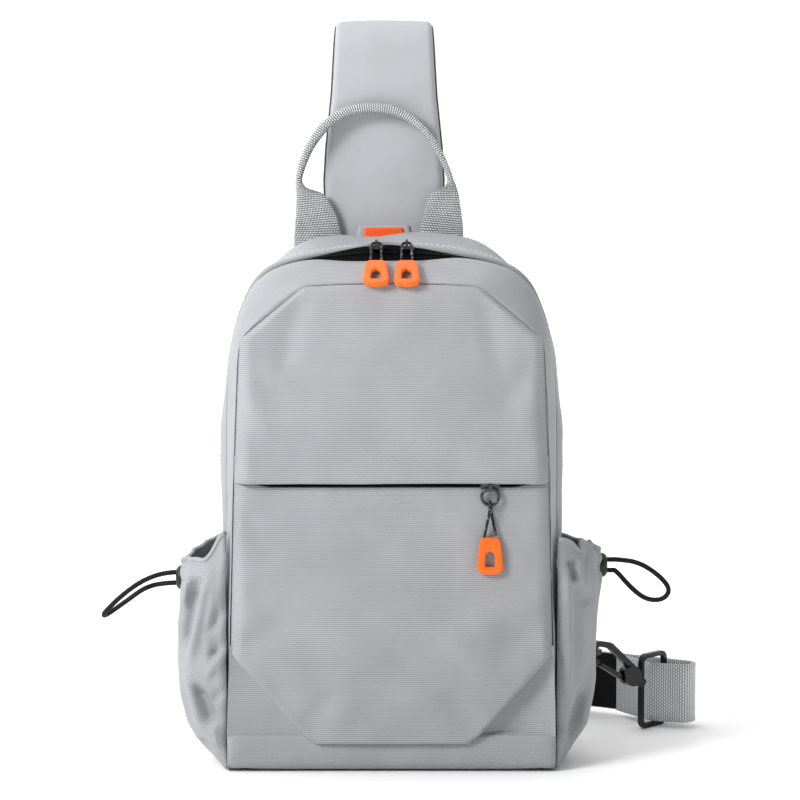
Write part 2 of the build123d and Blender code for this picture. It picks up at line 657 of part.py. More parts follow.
left_bar = Vector(-107.2, 41.5, 57)
left_plane = Plane(left_bar, x_dir=(0, 1, 0), z_dir=Vector(0, 1, 0).cross(Vector(0, 0, -1)))
finish(d_ring(left_plane), "d_ring_left")
left_tab_plane = Plane(left_bar, x_dir=(0, 1, 0), z_dir=Vector(0, 1, 0).cross(Vector(-1, 0, 0)))
finish(ring_tab(left_tab_plane, 10), "d_ring_tab_left")

# ---------------------------------------------------------------- side pockets
POCKET_MID_Y = (POCKET_FRONT_Y + POCKET_REAR_Y) / 2
# height and bulge of each pocket's outer wall, the left one sagging lower and fuller
POCKET_BULGE = {
    -1: [(3.5, 9.0), (22.0, 24.0), (62.0, 30.0), (86.0, 29.0), (104.0, 24.6), (122.0, 23.0),
         (146.0, 10.0)],
    1: [(3.5, 7.0), (22.0, 19.0), (62.0, 24.5), (98.0, 25.0), (122.0, 24.5), (146.0, 13.0)],
}
# the slanting mouth, from the body out, as (distance from the middle, height)
POCKET_MOUTH = {
    -1: ((97.0, 141.0), (136.0, 110.0)),
    1: ((97.0, 137.0), (136.0, 118.5)),
}


def pocket_section(side, height, bulge, inset):
    """The pocket's D-shaped plan section."""
    with BuildSketch(Plane.XY.offset(height)) as section:
        with BuildLine():
            front = (side * 90, POCKET_FRONT_Y + inset)
            rear = (side * 90, POCKET_REAR_Y - inset)
            front_edge = (side * POCKET_SIDE_X, POCKET_FRONT_Y + inset)
            rear_edge = (side * POCKET_SIDE_X, POCKET_REAR_Y - inset)
            Line(front, front_edge)
            ThreePointArc(front_edge, (side * (POCKET_SIDE_X + bulge - inset), POCKET_MID_Y), rear_edge)
            Line(rear_edge, rear)
            Line(rear, front)
        make_face()
    return section.sketch.faces()[0]


def side_pocket(side):
    """A gathered pocket, open at its slanting mouth and against the side of the body."""
    floor_z, floor_bulge = POCKET_BULGE[side][0]
    mouth_inner, mouth_outer = POCKET_MOUTH[side]
    with BuildPart() as pocket:
        loft(sections=[pocket_section(side, z, b, 0) for z, b in POCKET_BULGE[side]], ruled=True)
        hollow = [(floor_z + POCKET_WALL, floor_bulge)] + POCKET_BULGE[side][1:]
        loft(sections=[pocket_section(side, z, b, POCKET_WALL) for z, b in hollow], ruled=True,
             mode=Mode.SUBTRACT)
        with BuildSketch(Plane.XZ.offset(60)):
            with BuildLine():
                Polyline((side * 80, mouth_inner[1]), (side * mouth_inner[0], mouth_inner[1]),
                         (side * mouth_outer[0], mouth_outer[1]), (side * 150, 160), (side * 80, 160),
                         close=True)
            make_face()
        extrude(amount=-120, mode=Mode.SUBTRACT)
        loft(sections=[arch(y, -GAP, 0) for y in (FRONT_Y, ZIP_FRONT_Y, ZIP_REAR_Y, CROWN_Y)], ruled=True,
             mode=Mode.SUBTRACT)
    return pocket


finish(side_pocket(-1), "side_pocket_left")
finish(side_pocket(1), "side_pocket_right")

# ---------------------------------------------------------------- elastic loops and cord stops
STOP_R = 7.4
STOP_T = 4.6
STOP_HOLE_R = 1.8
CORD_Y = -5.0


def cord_stop(x_face, middle_z, side):
    """A domed round cord stop with two holes; its flat face is at x_face and it domes outward."""
    with BuildPart() as stop:
        with BuildSketch(Plane.YZ.offset(x_face)):
            with Locations((CORD_Y, middle_z)):
                Circle(STOP_R)
        extrude(amount=side * STOP_T)
        fillet(stop.faces().sort_by(Axis.X)[-1 if side > 0 else 0].edges(), 3.2)
        with BuildSketch(Plane.YZ.offset(x_face - side)):
            with Locations((CORD_Y, middle_z + STRANDS_APART / 2), (CORD_Y, middle_z - STRANDS_APART / 2)):
                Circle(STOP_HOLE_R)
        extrude(amount=side * (STOP_T + 2), mode=Mode.SUBTRACT)
    return stop


RIGHT_STOP_X = 126.1
RIGHT_STOP_Z = 118.0
LEFT_STOP_X = -126.3
LEFT_STOP_Z = 110.4
finish(cord_stop(RIGHT_STOP_X, RIGHT_STOP_Z, 1), "cord_stop_right")
finish(cord_stop(LEFT_STOP_X, LEFT_STOP_Z, -1), "cord_stop_left")

high, low = RIGHT_STOP_Z + STRANDS_APART / 2, RIGHT_STOP_Z - STRANDS_APART / 2
right_loop = [
    (RIGHT_STOP_X, CORD_Y, high), (136.5, CORD_Y, high + 0.1), (150, CORD_Y + 1, 119.6),
    (162.5, CORD_Y + 2, 111.5), (170, CORD_Y + 3, 102.5), (165.4, CORD_Y + 3, 96),
    (155.2, CORD_Y + 2, 96.2), (146, CORD_Y + 1, 103.2), (136, CORD_Y, low),
    (RIGHT_STOP_X, CORD_Y, low),
]
finish(cord_tube(right_loop, ELASTIC_D, "pocket_cord_right"), "pocket_cord_right")

high, low = LEFT_STOP_Z + STRANDS_APART / 2, LEFT_STOP_Z - STRANDS_APART / 2
left_loop = [
    (LEFT_STOP_X, CORD_Y, high), (-136.5, CORD_Y, high), (-149.5, CORD_Y - 3, 109.8),
    (-161.5, CORD_Y - 6, 102), (-173.5, CORD_Y - 7, 90.6), (-175.5, CORD_Y - 1, 86.6),
    (-173, CORD_Y + 5, 87.2), (-161.5, CORD_Y + 4.5, 95.4), (-149.5, CORD_Y + 2, 104.4),
    (-136.5, CORD_Y, low), (LEFT_STOP_X, CORD_Y, low),
]
finish(cord_tube(left_loop, ELASTIC_D, "pocket_cord_left"), "pocket_cord_left")
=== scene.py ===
import math

import bpy
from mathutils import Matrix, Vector, noise


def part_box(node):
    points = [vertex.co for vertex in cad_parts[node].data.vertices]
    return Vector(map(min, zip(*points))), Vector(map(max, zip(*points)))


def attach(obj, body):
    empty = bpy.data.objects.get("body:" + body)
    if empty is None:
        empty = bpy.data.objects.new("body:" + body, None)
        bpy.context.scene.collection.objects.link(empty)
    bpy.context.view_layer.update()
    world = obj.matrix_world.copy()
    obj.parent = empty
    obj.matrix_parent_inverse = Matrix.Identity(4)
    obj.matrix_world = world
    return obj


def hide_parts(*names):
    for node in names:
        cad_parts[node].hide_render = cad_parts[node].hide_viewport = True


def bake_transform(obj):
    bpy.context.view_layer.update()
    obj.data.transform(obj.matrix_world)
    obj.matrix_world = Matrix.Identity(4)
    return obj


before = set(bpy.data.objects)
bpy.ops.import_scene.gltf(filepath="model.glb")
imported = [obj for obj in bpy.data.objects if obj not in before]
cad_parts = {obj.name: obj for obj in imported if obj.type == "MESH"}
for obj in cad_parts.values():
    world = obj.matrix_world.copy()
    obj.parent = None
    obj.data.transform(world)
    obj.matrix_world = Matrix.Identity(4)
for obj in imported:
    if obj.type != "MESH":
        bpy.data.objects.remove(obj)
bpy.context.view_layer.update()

MM = 0.001


def lo(node):
    """Lowest corner of a CAD node in millimetres."""
    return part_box(node)[0] / MM


def hi(node):
    """Highest corner of a CAD node in millimetres."""
    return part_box(node)[1] / MM


def mid(node):
    """Middle of a CAD node in millimetres."""
    return (lo(node) + hi(node)) / 2


def half_size(node):
    """Half of a CAD node's size in millimetres."""
    return (hi(node) - lo(node)) / 2


def evenly(count, first=0.0, last=1.0):
    """count steps from first to last, both included."""
    return [first + (last - first) * k / count for k in range(count + 1)]


def clamp(t):
    """t held between 0 and 1."""
    return min(1.0, max(0.0, t))


def bell(offset, width):
    """1 at the middle, fading within about two widths."""
    return math.exp(-(offset / width) ** 2)


def hump(t, power=1.0):
    """0 at t = 0 and t = 1, and 1 half way."""
    return math.sin(math.pi * t) ** power


def squared(value, power):
    """A sine or cosine pushed outwards, so that a round section turns squarer."""
    return math.copysign(abs(value) ** power, value)


SIDES = ((-1, "left"), (1, "right"))


# ---------------------------------------------------------------- camera
VIEW_DISTANCE, VIEW_HEIGHT, VIEW_SHIFT, VIEW_PITCH = 1.500, 0.330, 0.005, 4.27
camera = bpy.data.objects.new("camera", bpy.data.cameras.new("camera"))
bpy.context.scene.collection.objects.link(camera)
camera.location = (VIEW_SHIFT, -VIEW_DISTANCE, VIEW_HEIGHT)
camera.rotation_euler = (math.radians(90 - VIEW_PITCH), 0, 0)
camera.data.lens = 111.6
camera.data.sensor_width = 36
camera.data.clip_start = 0.1
camera.data.clip_end = 60
bpy.context.scene.camera = camera


# ---------------------------------------------------------------- materials
class Nodes:
    """Short calls for building a material's node tree."""

    def __init__(self, name):
        self.material = bpy.data.materials.new(name)
        self.material.use_nodes = True
        self.tree = self.material.node_tree
        self.shader = self.tree.nodes["Principled BSDF"]

    def add(self, kind, **settings):
        node = self.tree.nodes.new(kind)
        for key, value in settings.items():
            setattr(node, key, value)
        return node

    def link(self, source, target):
        self.tree.links.new(source, target)

    def math(self, operation, a, b=0.0):
        node = self.add("ShaderNodeMath", operation=operation)
        for socket, value in zip(node.inputs, (a, b)):
            if isinstance(value, (int, float)):
                socket.default_value = value
            else:
                self.link(value, socket)
        return node.outputs[0]

    def noise(self, source, scale, detail=3.0):
        node = self.add("ShaderNodeTexNoise")
        node.inputs["Scale"].default_value = scale
        node.inputs["Detail"].default_value = detail
        self.link(source, node.inputs["Vector"])
        return node.outputs["Fac"]

    def ramp(self, factor, dark, light, low=0.0, high=1.0):
        node = self.add("ShaderNodeValToRGB")
        node.color_ramp.elements[0].position = low
        node.color_ramp.elements[1].position = high
        node.color_ramp.elements[0].color = (*dark, 1)
        node.color_ramp.elements[1].color = (*light, 1)
        self.link(factor, node.inputs[0])
        return node.outputs[0]

    def bump(self, height, strength, distance):
        node = self.add("ShaderNodeBump")
        node.inputs["Strength"].default_value = strength
        node.inputs["Distance"].default_value = distance
        self.link(height, node.inputs["Height"])
        self.link(node.outputs[0], self.shader.inputs["Normal"])

    def gloss(self, roughness, specular=0.5, sheen=0.0, metallic=0.0, coat=0.0):
        self.shader.inputs["Roughness"].default_value = roughness
        self.shader.inputs["Specular IOR Level"].default_value = specular
        self.shader.inputs["Sheen Weight"].default_value = sheen
        self.shader.inputs["Sheen Roughness"].default_value = 0.4
        self.shader.inputs["Metallic"].default_value = metallic
        self.shader.inputs["Coat Weight"].default_value = coat
        self.shader.inputs["Coat Roughness"].default_value = 0.15


def tint(color, amount):
    """A lighter or darker shade of a colour."""
    return tuple(max(0.0, min(1.0, c * amount)) for c in color)


def woven(name, color, rib, dot, contrast=0.25, relief=0.00025, strength=0.5, roughness=0.6, specular=0.35,
          sheen=0.15, mottle=0.05):
    """Cloth with ribs along u, rib apart, each a row of threads dot apart and staggered row by row."""
    m = Nodes(name)
    uv = m.add("ShaderNodeUVMap", uv_map="UVMap")
    split = m.add("ShaderNodeSeparateXYZ")
    m.link(uv.outputs[0], split.inputs[0])
    row = m.math("DIVIDE", split.outputs[1], rib)
    stagger = m.math("MULTIPLY", m.math("MODULO", m.math("ABSOLUTE", m.math("FLOOR", row)), 2.0), 0.5)
    across = m.math("SINE", m.math("MULTIPLY", m.math("FRACT", row), math.pi))
    column = m.math("ADD", m.math("DIVIDE", split.outputs[0], dot), stagger)
    wave = m.math("COSINE", m.math("MULTIPLY", column, 2 * math.pi))
    along = m.math("ADD", m.math("MULTIPLY", wave, 0.5), 0.5)
    height = m.math("MULTIPLY", across, m.math("ADD", m.math("MULTIPLY", along, 0.55), 0.45))
    geometry = m.add("ShaderNodeTexCoord").outputs["Object"]
    patchy = m.noise(geometry, 34.0)
    fibres = m.noise(geometry, 2600.0, 1.0)
    worn = m.math("ADD", m.math("MULTIPLY", m.math("SUBTRACT", patchy, 0.5), 2.0),
                  m.math("MULTIPLY", m.math("SUBTRACT", fibres, 0.5), 0.8))
    # The colour follows the threads' height: darker in the grooves between threads and lighter on their
    # crowns, which is painted shade over the weave; the patchy mottling added to it is random tone.
    shade = m.math("ADD", m.math("MULTIPLY", height, contrast), m.math("MULTIPLY", worn, mottle * 2))
    dark, light = tint(color, 1 - contrast * 0.9), tint(color, 1 + contrast * 0.35)
    m.link(m.ramp(shade, dark, light, 0.0, max(contrast, 0.05)), m.shader.inputs["Base Color"])
    m.bump(height, strength, relief)
    m.gloss(roughness, specular, sheen)
    m.link(m.math("ADD", m.math("MULTIPLY", patchy, 0.12), roughness - 0.06), m.shader.inputs["Roughness"])
    return m.material


def spacer_mesh(name, color):
    """Black air mesh: staggered round holes, painted darker inside as painted shade."""
    m = Nodes(name)
    uv = m.add("ShaderNodeUVMap", uv_map="UVMap")
    cells = m.add("ShaderNodeTexVoronoi", feature="F1")
    cells.inputs["Scale"].default_value = 420
    cells.inputs["Randomness"].default_value = 0.25
    m.link(uv.outputs[0], cells.inputs["Vector"])
    hole = cells.outputs["Distance"]
    # Painted shade: the holes are coloured darker than the mesh around them.
    m.link(m.ramp(hole, tint(color, 0.25), tint(color, 1.9), 0.1, 0.55), m.shader.inputs["Base Color"])
    m.bump(hole, 0.9, 0.0006)
    m.gloss(0.75, 0.25, 0.25)
    return m.material


def moulded(name, color, roughness, grain=900.0, metallic=0.0, coat=0.0, wear=1.25, specular=0.5):
    """Moulded plastic, rubber or lacquered metal with a fine grain and slightly paler worn patches."""
    m = Nodes(name)
    geometry = m.add("ShaderNodeTexCoord").outputs["Object"]
    fine = m.noise(geometry, grain, 2.0)
    broad = m.noise(geometry, 60.0, 4.0)
    m.link(m.ramp(broad, tint(color, 0.92), tint(color, wear), 0.35, 0.75), m.shader.inputs["Base Color"])
    m.bump(fine, 0.12, 0.0001)
    m.gloss(roughness, specular, 0.0, metallic, coat)
    m.link(m.math("ADD", m.math("MULTIPLY", broad, 0.16), roughness - 0.08), m.shader.inputs["Roughness"])
    return m.material


def braid(name, dark, light, scale, share):
    """Round braided cord: small flecks of light over dark."""
    m = Nodes(name)
    geometry = m.add("ShaderNodeTexCoord").outputs["Object"]
    cells = m.add("ShaderNodeTexVoronoi", feature="F1")
    cells.inputs["Scale"].default_value = scale
    m.link(geometry, cells.inputs["Vector"])
    fleck = m.noise(geometry, scale * 0.7, 1.0)
    m.link(m.ramp(fleck, dark, light, 1 - share - 0.04, 1 - share + 0.04), m.shader.inputs["Base Color"])
    m.bump(cells.outputs["Distance"], 0.6, 0.0003)
    m.gloss(0.65, 0.2, 0.0)
    return m.material


NYLON = (0.335, 0.338, 0.356)
shell = woven("shell_nylon", NYLON, 0.00118, 0.00118, contrast=0.44, relief=0.00026, strength=0.6, sheen=0.08)
# The strap's nylon is the shell's nylon made 16 % lighter: painted light for the strap's face, which leans
# away from the lamps.
strap_cloth_painted_lighter = woven("strap_nylon_painted_lighter", tint(NYLON, 1.16), 0.00062, 0.00062, contrast=0.26, relief=0.00014)
# The strap webbing's grey is the handle webbing's hue made much lighter: painted light that makes up for the
# bag's shadow falling on it.
webbing = woven("ribbed_webbing_painted_lighter", (0.76, 0.765, 0.79), 0.00150, 0.0021, contrast=0.8, relief=0.0006,
                strength=0.9, roughness=0.55)
handle_web = woven("handle_webbing", (0.56, 0.563, 0.58), 0.0014, 0.0018, contrast=1.0, relief=0.0007,
                   strength=1.0, roughness=0.55)
dark_webbing = woven("dark_webbing", (0.012, 0.012, 0.013), 0.0015, 0.0021, contrast=0.6, relief=0.0004,
                     strength=0.8, roughness=0.8, specular=0.15, sheen=0.0)
back_cloth = woven("back_polyester", (0.075, 0.075, 0.08), 0.0009, 0.0009, contrast=0.4)
lining = woven("lining", (0.06, 0.06, 0.066), 0.0007, 0.0007, contrast=0.3)
tape = woven("zip_tape", (0.004, 0.004, 0.0045), 0.0008, 0.0012, contrast=0.5, relief=0.0002, roughness=0.9,
             specular=0.05, sheen=0.0)
air_mesh = spacer_mesh("air_mesh", (0.022, 0.022, 0.024))
coil_nylon = moulded("zip_coil", (0.006, 0.006, 0.007), 0.45, specular=0.15)
black_metal = moulded("black_metal", (0.005, 0.005, 0.006), 0.22, 500, 0.0, 0.0, 1.6, specular=0.3)
gunmetal = moulded("gunmetal", (0.014, 0.014, 0.015), 0.2, 500, 0.3, 0.5, 1.5)
black_plastic = moulded("black_plastic", (0.009, 0.009, 0.010), 0.42, specular=0.35)
orange = moulded("orange_rubber", (0.90, 0.125, 0.006), 0.5, 1500, wear=1.06, specular=0.35)
patch_orange = moulded("patch_orange", (0.84, 0.09, 0.012), 0.55, 1500, wear=1.1, specular=0.3)
thread = moulded("sewing_thread", (0.36, 0.36, 0.375), 0.6, 3000)
pale_thread = moulded("pale_thread", (0.62, 0.62, 0.63), 0.6, 3000)
elastic = braid("elastic_braid", (0.006, 0.006, 0.007), (0.016, 0.016, 0.017), 1500, 0.35)
speckled = braid("speckled_braid", (0.012, 0.012, 0.013), (0.22, 0.22, 0.23), 900, 0.36)


# ---------------------------------------------------------------- mesh helpers
def link(name, mesh, material, body="root"):
    """A new piece from a mesh, riding its body unless body is None."""
    piece = bpy.data.objects.new(name, mesh)
    bpy.context.scene.collection.objects.link(piece)
    mesh.materials.clear()
    mesh.materials.append(material)
    mesh.polygons.foreach_set("use_smooth", [True] * len(mesh.polygons))
    if body:
        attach(piece, body)
    return piece


def lengths(points, closed=False):
    """Running length along a row of points."""
    total, run = 0.0, [0.0]
    for a, b in zip(points, points[1:] + ([points[0]] if closed else [])):
        total += (b - a).length
        run.append(total)
    return run


def grid(name, rows, material, body="root", loop=False, caps=False, flip=False, even=False, flat=False):
    """A smooth quad surface through rows of points in millimetres, with its UV map in metres of cloth."""
    count, width = len(rows), len(rows[0])
    mesh = bpy.data.meshes.new(name)
    faces, corners = [], []
    spans = width if loop else width - 1
    for i in range(count - 1):
        for j in range(spans):
            cell = [(i, j), (i, j + 1), (i + 1, j + 1), (i + 1, j)]
            if flip:
                cell.reverse()
            corners.extend(cell)
            faces.append([a * width + b % width for a, b in cell])
    if caps:
        for i, turn in ((0, not flip), (count - 1, flip)):
            ring = [(i, j) for j in range(width)]
            if turn:
                ring.reverse()
            corners.extend(ring)
            faces.append([a * width + b for a, b in ring])
    mesh.from_pydata([p * MM for row in rows for p in row], [], faces)
    across = [lengths(row, loop) for row in rows]
    down = [lengths([rows[i][j] for i in range(count)]) for j in range(width)]
    if even:
        mean = [sum(column[i] for column in down) / width for i in range(count)]
        down = [mean] * width
    layer = mesh.uv_layers.new(name="UVMap")
    for corner, (i, j) in zip(layer.data, corners):
        if flat:
            corner.uv = (rows[i][j].x * MM, rows[i][j].z * MM)
        else:
            corner.uv = ((across[i][j] - across[i][-1] / 2) * MM, down[j % width][i] * MM)
    return link(name, mesh, material, body)


def thicken(piece, amount, offset=-1.0):
    """Gives a sheet its cloth's thickness, in millimetres."""
    solid = piece.modifiers.new("thickness", "SOLIDIFY")
    solid.thickness = amount * MM
    solid.offset = offset
    return piece


def soften(piece, amount=0.3, segments=3):
    """Rounds the edges of a carried-over CAD node."""
    bevel = piece.modifiers.new("edge", "BEVEL")
    bevel.width = amount * MM
    bevel.segments = segments
    bevel.limit_method = "ANGLE"
    bevel.angle_limit = math.radians(40)
    return piece


def catmull(points, per=8):
    """A smooth line through the points."""
    padded = [points[0] * 2 - points[1], *points, points[-1] * 2 - points[-2]]
    line = []
    for a, b, c, d in zip(padded, padded[1:], padded[2:], padded[3:]):
        for step in range(per):
            t = step / per
            line.append(0.5 * (2 * b + (c - a) * t + (2 * a - 5 * b + 4 * c - d) * t * t
                               + (3 * b - a - 3 * c + d) * t ** 3))
    return line + [points[-1].copy()]


def resample(points, step):
    """Evenly spaced points along a line."""
    run = lengths(points)
    count = max(2, round(run[-1] / step) + 1)
    line, k = [], 0
    for n in range(count):
        target = run[-1] * n / (count - 1)
        while k < len(points) - 2 and run[k + 1] < target:
            k += 1
        share = (target - run[k]) / max(run[k + 1] - run[k], 1e-9)
        line.append(points[k].lerp(points[k + 1], min(share, 1.0)))
    return line


def tangents(points):
    """Direction of a line at each of its points."""
    padded = [points[0] * 2 - points[1], *points, points[-1] * 2 - points[-2]]
    return [(c - a).normalized() for a, c in zip(padded, padded[2:])]


def tube(name, points, radius, material, body="root", sides=10, closed=False):
    """A round tube along points."""
    count = len(points)
    if closed:
        ways = [(points[(k + 1) % count] - points[k - 1]).normalized() for k in range(count)]
    else:
        ways = tangents(points)
    side = ways[0].orthogonal().normalized()
    rows = []
    for point, way in zip(points, ways):
        side = (side - way * side.dot(way)).normalized()
        up = way.cross(side)
        rows.append([point + (side * math.cos(a) + up * math.sin(a)) * radius
                     for a in (2 * math.pi * k / sides for k in range(sides))])
    if closed:
        rows.append(rows[0])
    return grid(name, rows, material, body, loop=True, caps=not closed, even=True)


def ribbon(name, centres, across, width, thick, material):
    """Flat webbing with rounded, slightly thicker edges: across is its width direction at each centre."""
    ways = tangents(centres)
    section = [(x * 0.985, 0.6 if abs(x) > 0.8 else 0.5) for x in evenly(8, -1, 1)]
    section = section + [(1.0, 0.0)] + [(x, -y) for x, y in reversed(section)] + [(-1.0, 0.0)]
    rows = []
    for centre, way, wide in zip(centres, ways, across):
        wide = (wide - way * wide.dot(way)).normalized()
        face = way.cross(wide)
        rows.append([centre + wide * (x * width / 2) + face * (y * thick) for x, y in section])
    return grid(name, rows, material, loop=True, caps=True, even=True)


def surface_at(rows, i, j):
    """Point and outward normal on a grid of rows at fractional row and column."""
    i = max(0.0, min(i, len(rows) - 1.001))
    j = max(0.0, min(j, len(rows[0]) - 1.001))
    a, b = int(i), int(j)
    s, t = i - a, j - b
    p, q, r, w = rows[a][b], rows[a][b + 1], rows[a + 1][b], rows[a + 1][b + 1]
    point = p.lerp(q, t).lerp(r.lerp(w, t), s)
    normal = (q - p + w - r).cross(r - p + w - q).normalized()
    return point, normal


STITCH, STITCH_SHARE, THREAD_R, THREAD_LIFT = 3.3, 0.74, 0.30, 0.12
# place along a stitch, its radius and height there: both ends dive into the cloth
STITCH_SHAPE = ((0, 0.35, -0.3), (0.18, 0.95, 0.7), (0.5, 1.0, 1.0), (0.82, 0.95, 0.7), (1, 0.35, -0.3))


def stitches(name, line, material):
    """A row of sewing stitches along a line of (point, normal)."""
    run = lengths([p for p, _ in line])
    verts, faces = [], []
    ring = 6
    for n in range(int(run[-1] / STITCH)):
        ends = []
        for edge in (n * STITCH, (n + STITCH_SHARE) * STITCH):
            k = 0
            while k < len(line) - 2 and run[k + 1] < edge:
                k += 1
            t = min(1.0, (edge - run[k]) / max(run[k + 1] - run[k], 1e-9))
            (p, up_p), (q, up_q) = line[k], line[k + 1]
            ends.append((p.lerp(q, t), up_p.lerp(up_q, t).normalized()))
        (a, na), (b, _) = ends
        way = (b - a).normalized()
        side = way.cross(na).normalized()
        up = side.cross(way)
        first = len(verts)
        for s, r, h in STITCH_SHAPE:
            centre = a.lerp(b, s) + up * (THREAD_LIFT + THREAD_R * (h - 0.6))
            for m in range(ring):
                angle = 2 * math.pi * m / ring
                verts.append((centre + (side * math.cos(angle) + up * math.sin(angle)) * (THREAD_R * r)) * MM)
        for s in range(4):
            for m in range(ring):
                base = first + s * ring
                after = base + (m + 1) % ring
                faces.append((base + m, after, after + ring, base + ring + m))
    mesh = bpy.data.meshes.new(name)
    mesh.from_pydata(verts, [], faces)
    mesh.uv_layers.new(name="UVMap")
    return link(name, mesh, material)


def ruffle(p, size, seed=0.0):
    """Smooth repeatable unevenness between -1 and 1; size is the length of a ripple in millimetres."""
    return noise.noise(Vector((p.x / size + seed, p.y / size - seed, p.z / size + 2 * seed)))


def fold(x, z, a, b, width, height, curve=0.0):
    """Height at (x, z) of a crease that runs from a to b and fades at its ends."""
    ax, az = a
    dx, dz = b[0] - ax, b[1] - az
    span = math.hypot(dx, dz)
    t = ((x - ax) * dx + (z - az) * dz) / (span * span)
    off = ((x - ax) * dz - (z - az) * dx) / span - curve * math.sin(math.pi * max(0.0, min(1.0, t)))
    ends = max(0.0, min(1.0, t * 4)) * max(0.0, min(1.0, (1 - t) * 4))
    return height * ends * math.exp(-(off / width) ** 2)


def ease(t):
    """0 up to t = 0, 1 from t = 1 on, and smooth in between."""
    t = clamp(t)
    return t * t * (3 - 2 * t)


def between(z, table):
    """Linear interpolation in a table of (z, value) with falling or rising z."""
    rows = sorted(table)
    if z <= rows[0][0]:
        return rows[0][1]
    for (za, va), (zb, vb) in zip(rows, rows[1:]):
        if z <= zb:
            return va + (vb - va) * (z - za) / (zb - za)
    return rows[-1][1]


def displaced(rows, height):
    """Moves each point of a grid along the surface's normal by height(point, i, j)."""
    moved = []
    for i, row in enumerate(rows):
        moved.append([point + surface_at(rows, i, j)[1] * height(point, i, j) for j, point in enumerate(row)])
    return moved


# ---------------------------------------------------------------- cords, on the CAD's own routes
def cord(name, route, radius, material, body):
    """A NURBS cord with the route's points as its control points."""
    curve = bpy.data.curves.new(name, "CURVE")
    curve.dimensions = "3D"
    curve.bevel_depth = radius * MM
    curve.bevel_resolution = 4
    curve.resolution_u = 10
    curve.use_fill_caps = True
    spline = curve.splines.new("NURBS")
    spline.points.add(len(route) - 1)
    for target, point in zip(spline.points, route):
        target.co = (*[c * MM for c in point], 1)
    spline.order_u = 3
    spline.use_endpoint_u = True
    curve.materials.append(material)
    piece = bpy.data.objects.new(name, curve)
    bpy.context.scene.collection.objects.link(piece)
    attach(piece, body)
    return piece


def reach(polygon, centre, way):
    """Distance from centre to a polygon's edge in direction way."""
    best = 0.0
    for (ax, ay), (bx, by) in zip(polygon, polygon[1:] + polygon[:1]):
        ex, ey = bx - ax, by - ay
        cross = way[0] * ey - way[1] * ex
        if abs(cross) > 1e-9:
            dx, dy = ax - centre[0], ay - centre[1]
            along, share = (dx * ey - dy * ex) / cross, (dx * way[1] - dy * way[0]) / cross
            if along > 0 and -1e-6 <= share <= 1 + 1e-6:
                best = max(best, along)
    return best


def eased_ring(polygon, centre, count, passes):
    """A polygon as count points round centre, its corners rounded by averaging."""
    ring = []
    for k in range(count):
        way = (math.cos(2 * math.pi * k / count), math.sin(2 * math.pi * k / count))
        far = reach(polygon, centre, way)
        ring.append((centre[0] + way[0] * far, centre[1] + way[1] * far))
    for _ in range(passes):
        ring = [tuple((a[c] + 2 * b[c] + d[c]) / 4 for c in (0, 1))
                for a, b, d in zip(ring[-1:] + ring[:-1], ring, ring[1:] + ring[:1])]
    return ring


GRIP_OUTER = [(-5.5, 0), (5.5, 0), (6.2, 2.2), (7.9, 18.6), (6.6, 21.0), (0, 22.3), (-6.6, 21.0),
              (-7.9, 18.6), (-6.2, 2.2)]
GRIP_WINDOW = [(0, 8.0), (2.6, 10.2), (3.0, 17.4), (-3.0, 17.4), (-2.6, 10.2)]
GRIP_THICK = 3.5


def pull_grip(name, node, body, start, along, face):
    """Soft moulded grip with a window: start is the middle of its cord end, along runs to its free end."""
    across = along.cross(face).normalized()
    middle = (0.0, 13.2)
    count, around = 112, 28
    outer = eased_ring(GRIP_OUTER, middle, count, 7)
    window = eased_ring(GRIP_WINDOW, middle, count, 3)
    rows = []
    for (ox, oy), (wx, wy) in list(zip(outer, window)) + [(outer[0], window[0])]:
        ring = []
        for m in range(around):
            angle = 2 * math.pi * m / around
            c, d = squared(math.cos(angle), 0.55), squared(math.sin(angle), 0.55)
            share = 0.5 + 0.5 * c
            x, y = wx + (ox - wx) * share, wy + (oy - wy) * share
            thick = GRIP_THICK * (0.90 + 0.18 * ease((y - 8) / 14))
            ring.append(start + across * x + along * y + face * (d * thick / 2))
        rows.append(ring)
    grip = grid(name, rows, orange, body=body, loop=True)
    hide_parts(node)
    return grip


CORD_Y, CORD_R, PULL_CORD_R = -5.0, 1.5, 0.8
STRANDS_APART = 6.5
right_x = lo("cord_stop_right").x
right_z = mid("cord_stop_right").z
high, low = right_z + STRANDS_APART / 2, right_z - STRANDS_APART / 2
right_cord = cord("elastic_loop_right", [
    (right_x, CORD_Y, high), (134, CORD_Y, high), (136.5, CORD_Y, high + 0.1), (150, CORD_Y + 1, 119.6),
    (162.5, CORD_Y + 2, 111.5), (170, CORD_Y + 3, 102.5), (165.4, CORD_Y + 3, 96), (155.2, CORD_Y + 2, 96.2),
    (146, CORD_Y + 1, 103.2), (136, CORD_Y, low), (134, CORD_Y, low), (right_x, CORD_Y, low),
], CORD_R, elastic, "root")
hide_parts("pocket_cord_right")

left_x = hi("cord_stop_left").x
left_z = mid("cord_stop_left").z
high, low = left_z + STRANDS_APART / 2, left_z - STRANDS_APART / 2
left_cord = cord("elastic_loop_left", [
    (left_x, CORD_Y, high), (-136.5, CORD_Y, high), (-149.5, CORD_Y - 3, 109.8), (-161.5, CORD_Y - 6, 102),
    (-173.5, CORD_Y - 7, 90.6), (-175.5, CORD_Y - 1, 86.6), (-173, CORD_Y + 5, 87.2),
    (-161.5, CORD_Y + 4.5, 95.4), (-149.5, CORD_Y + 2, 104.4), (-136.5, CORD_Y, low), (left_x, CORD_Y, low),
], CORD_R, elastic, "root")
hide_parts("pocket_cord_left")

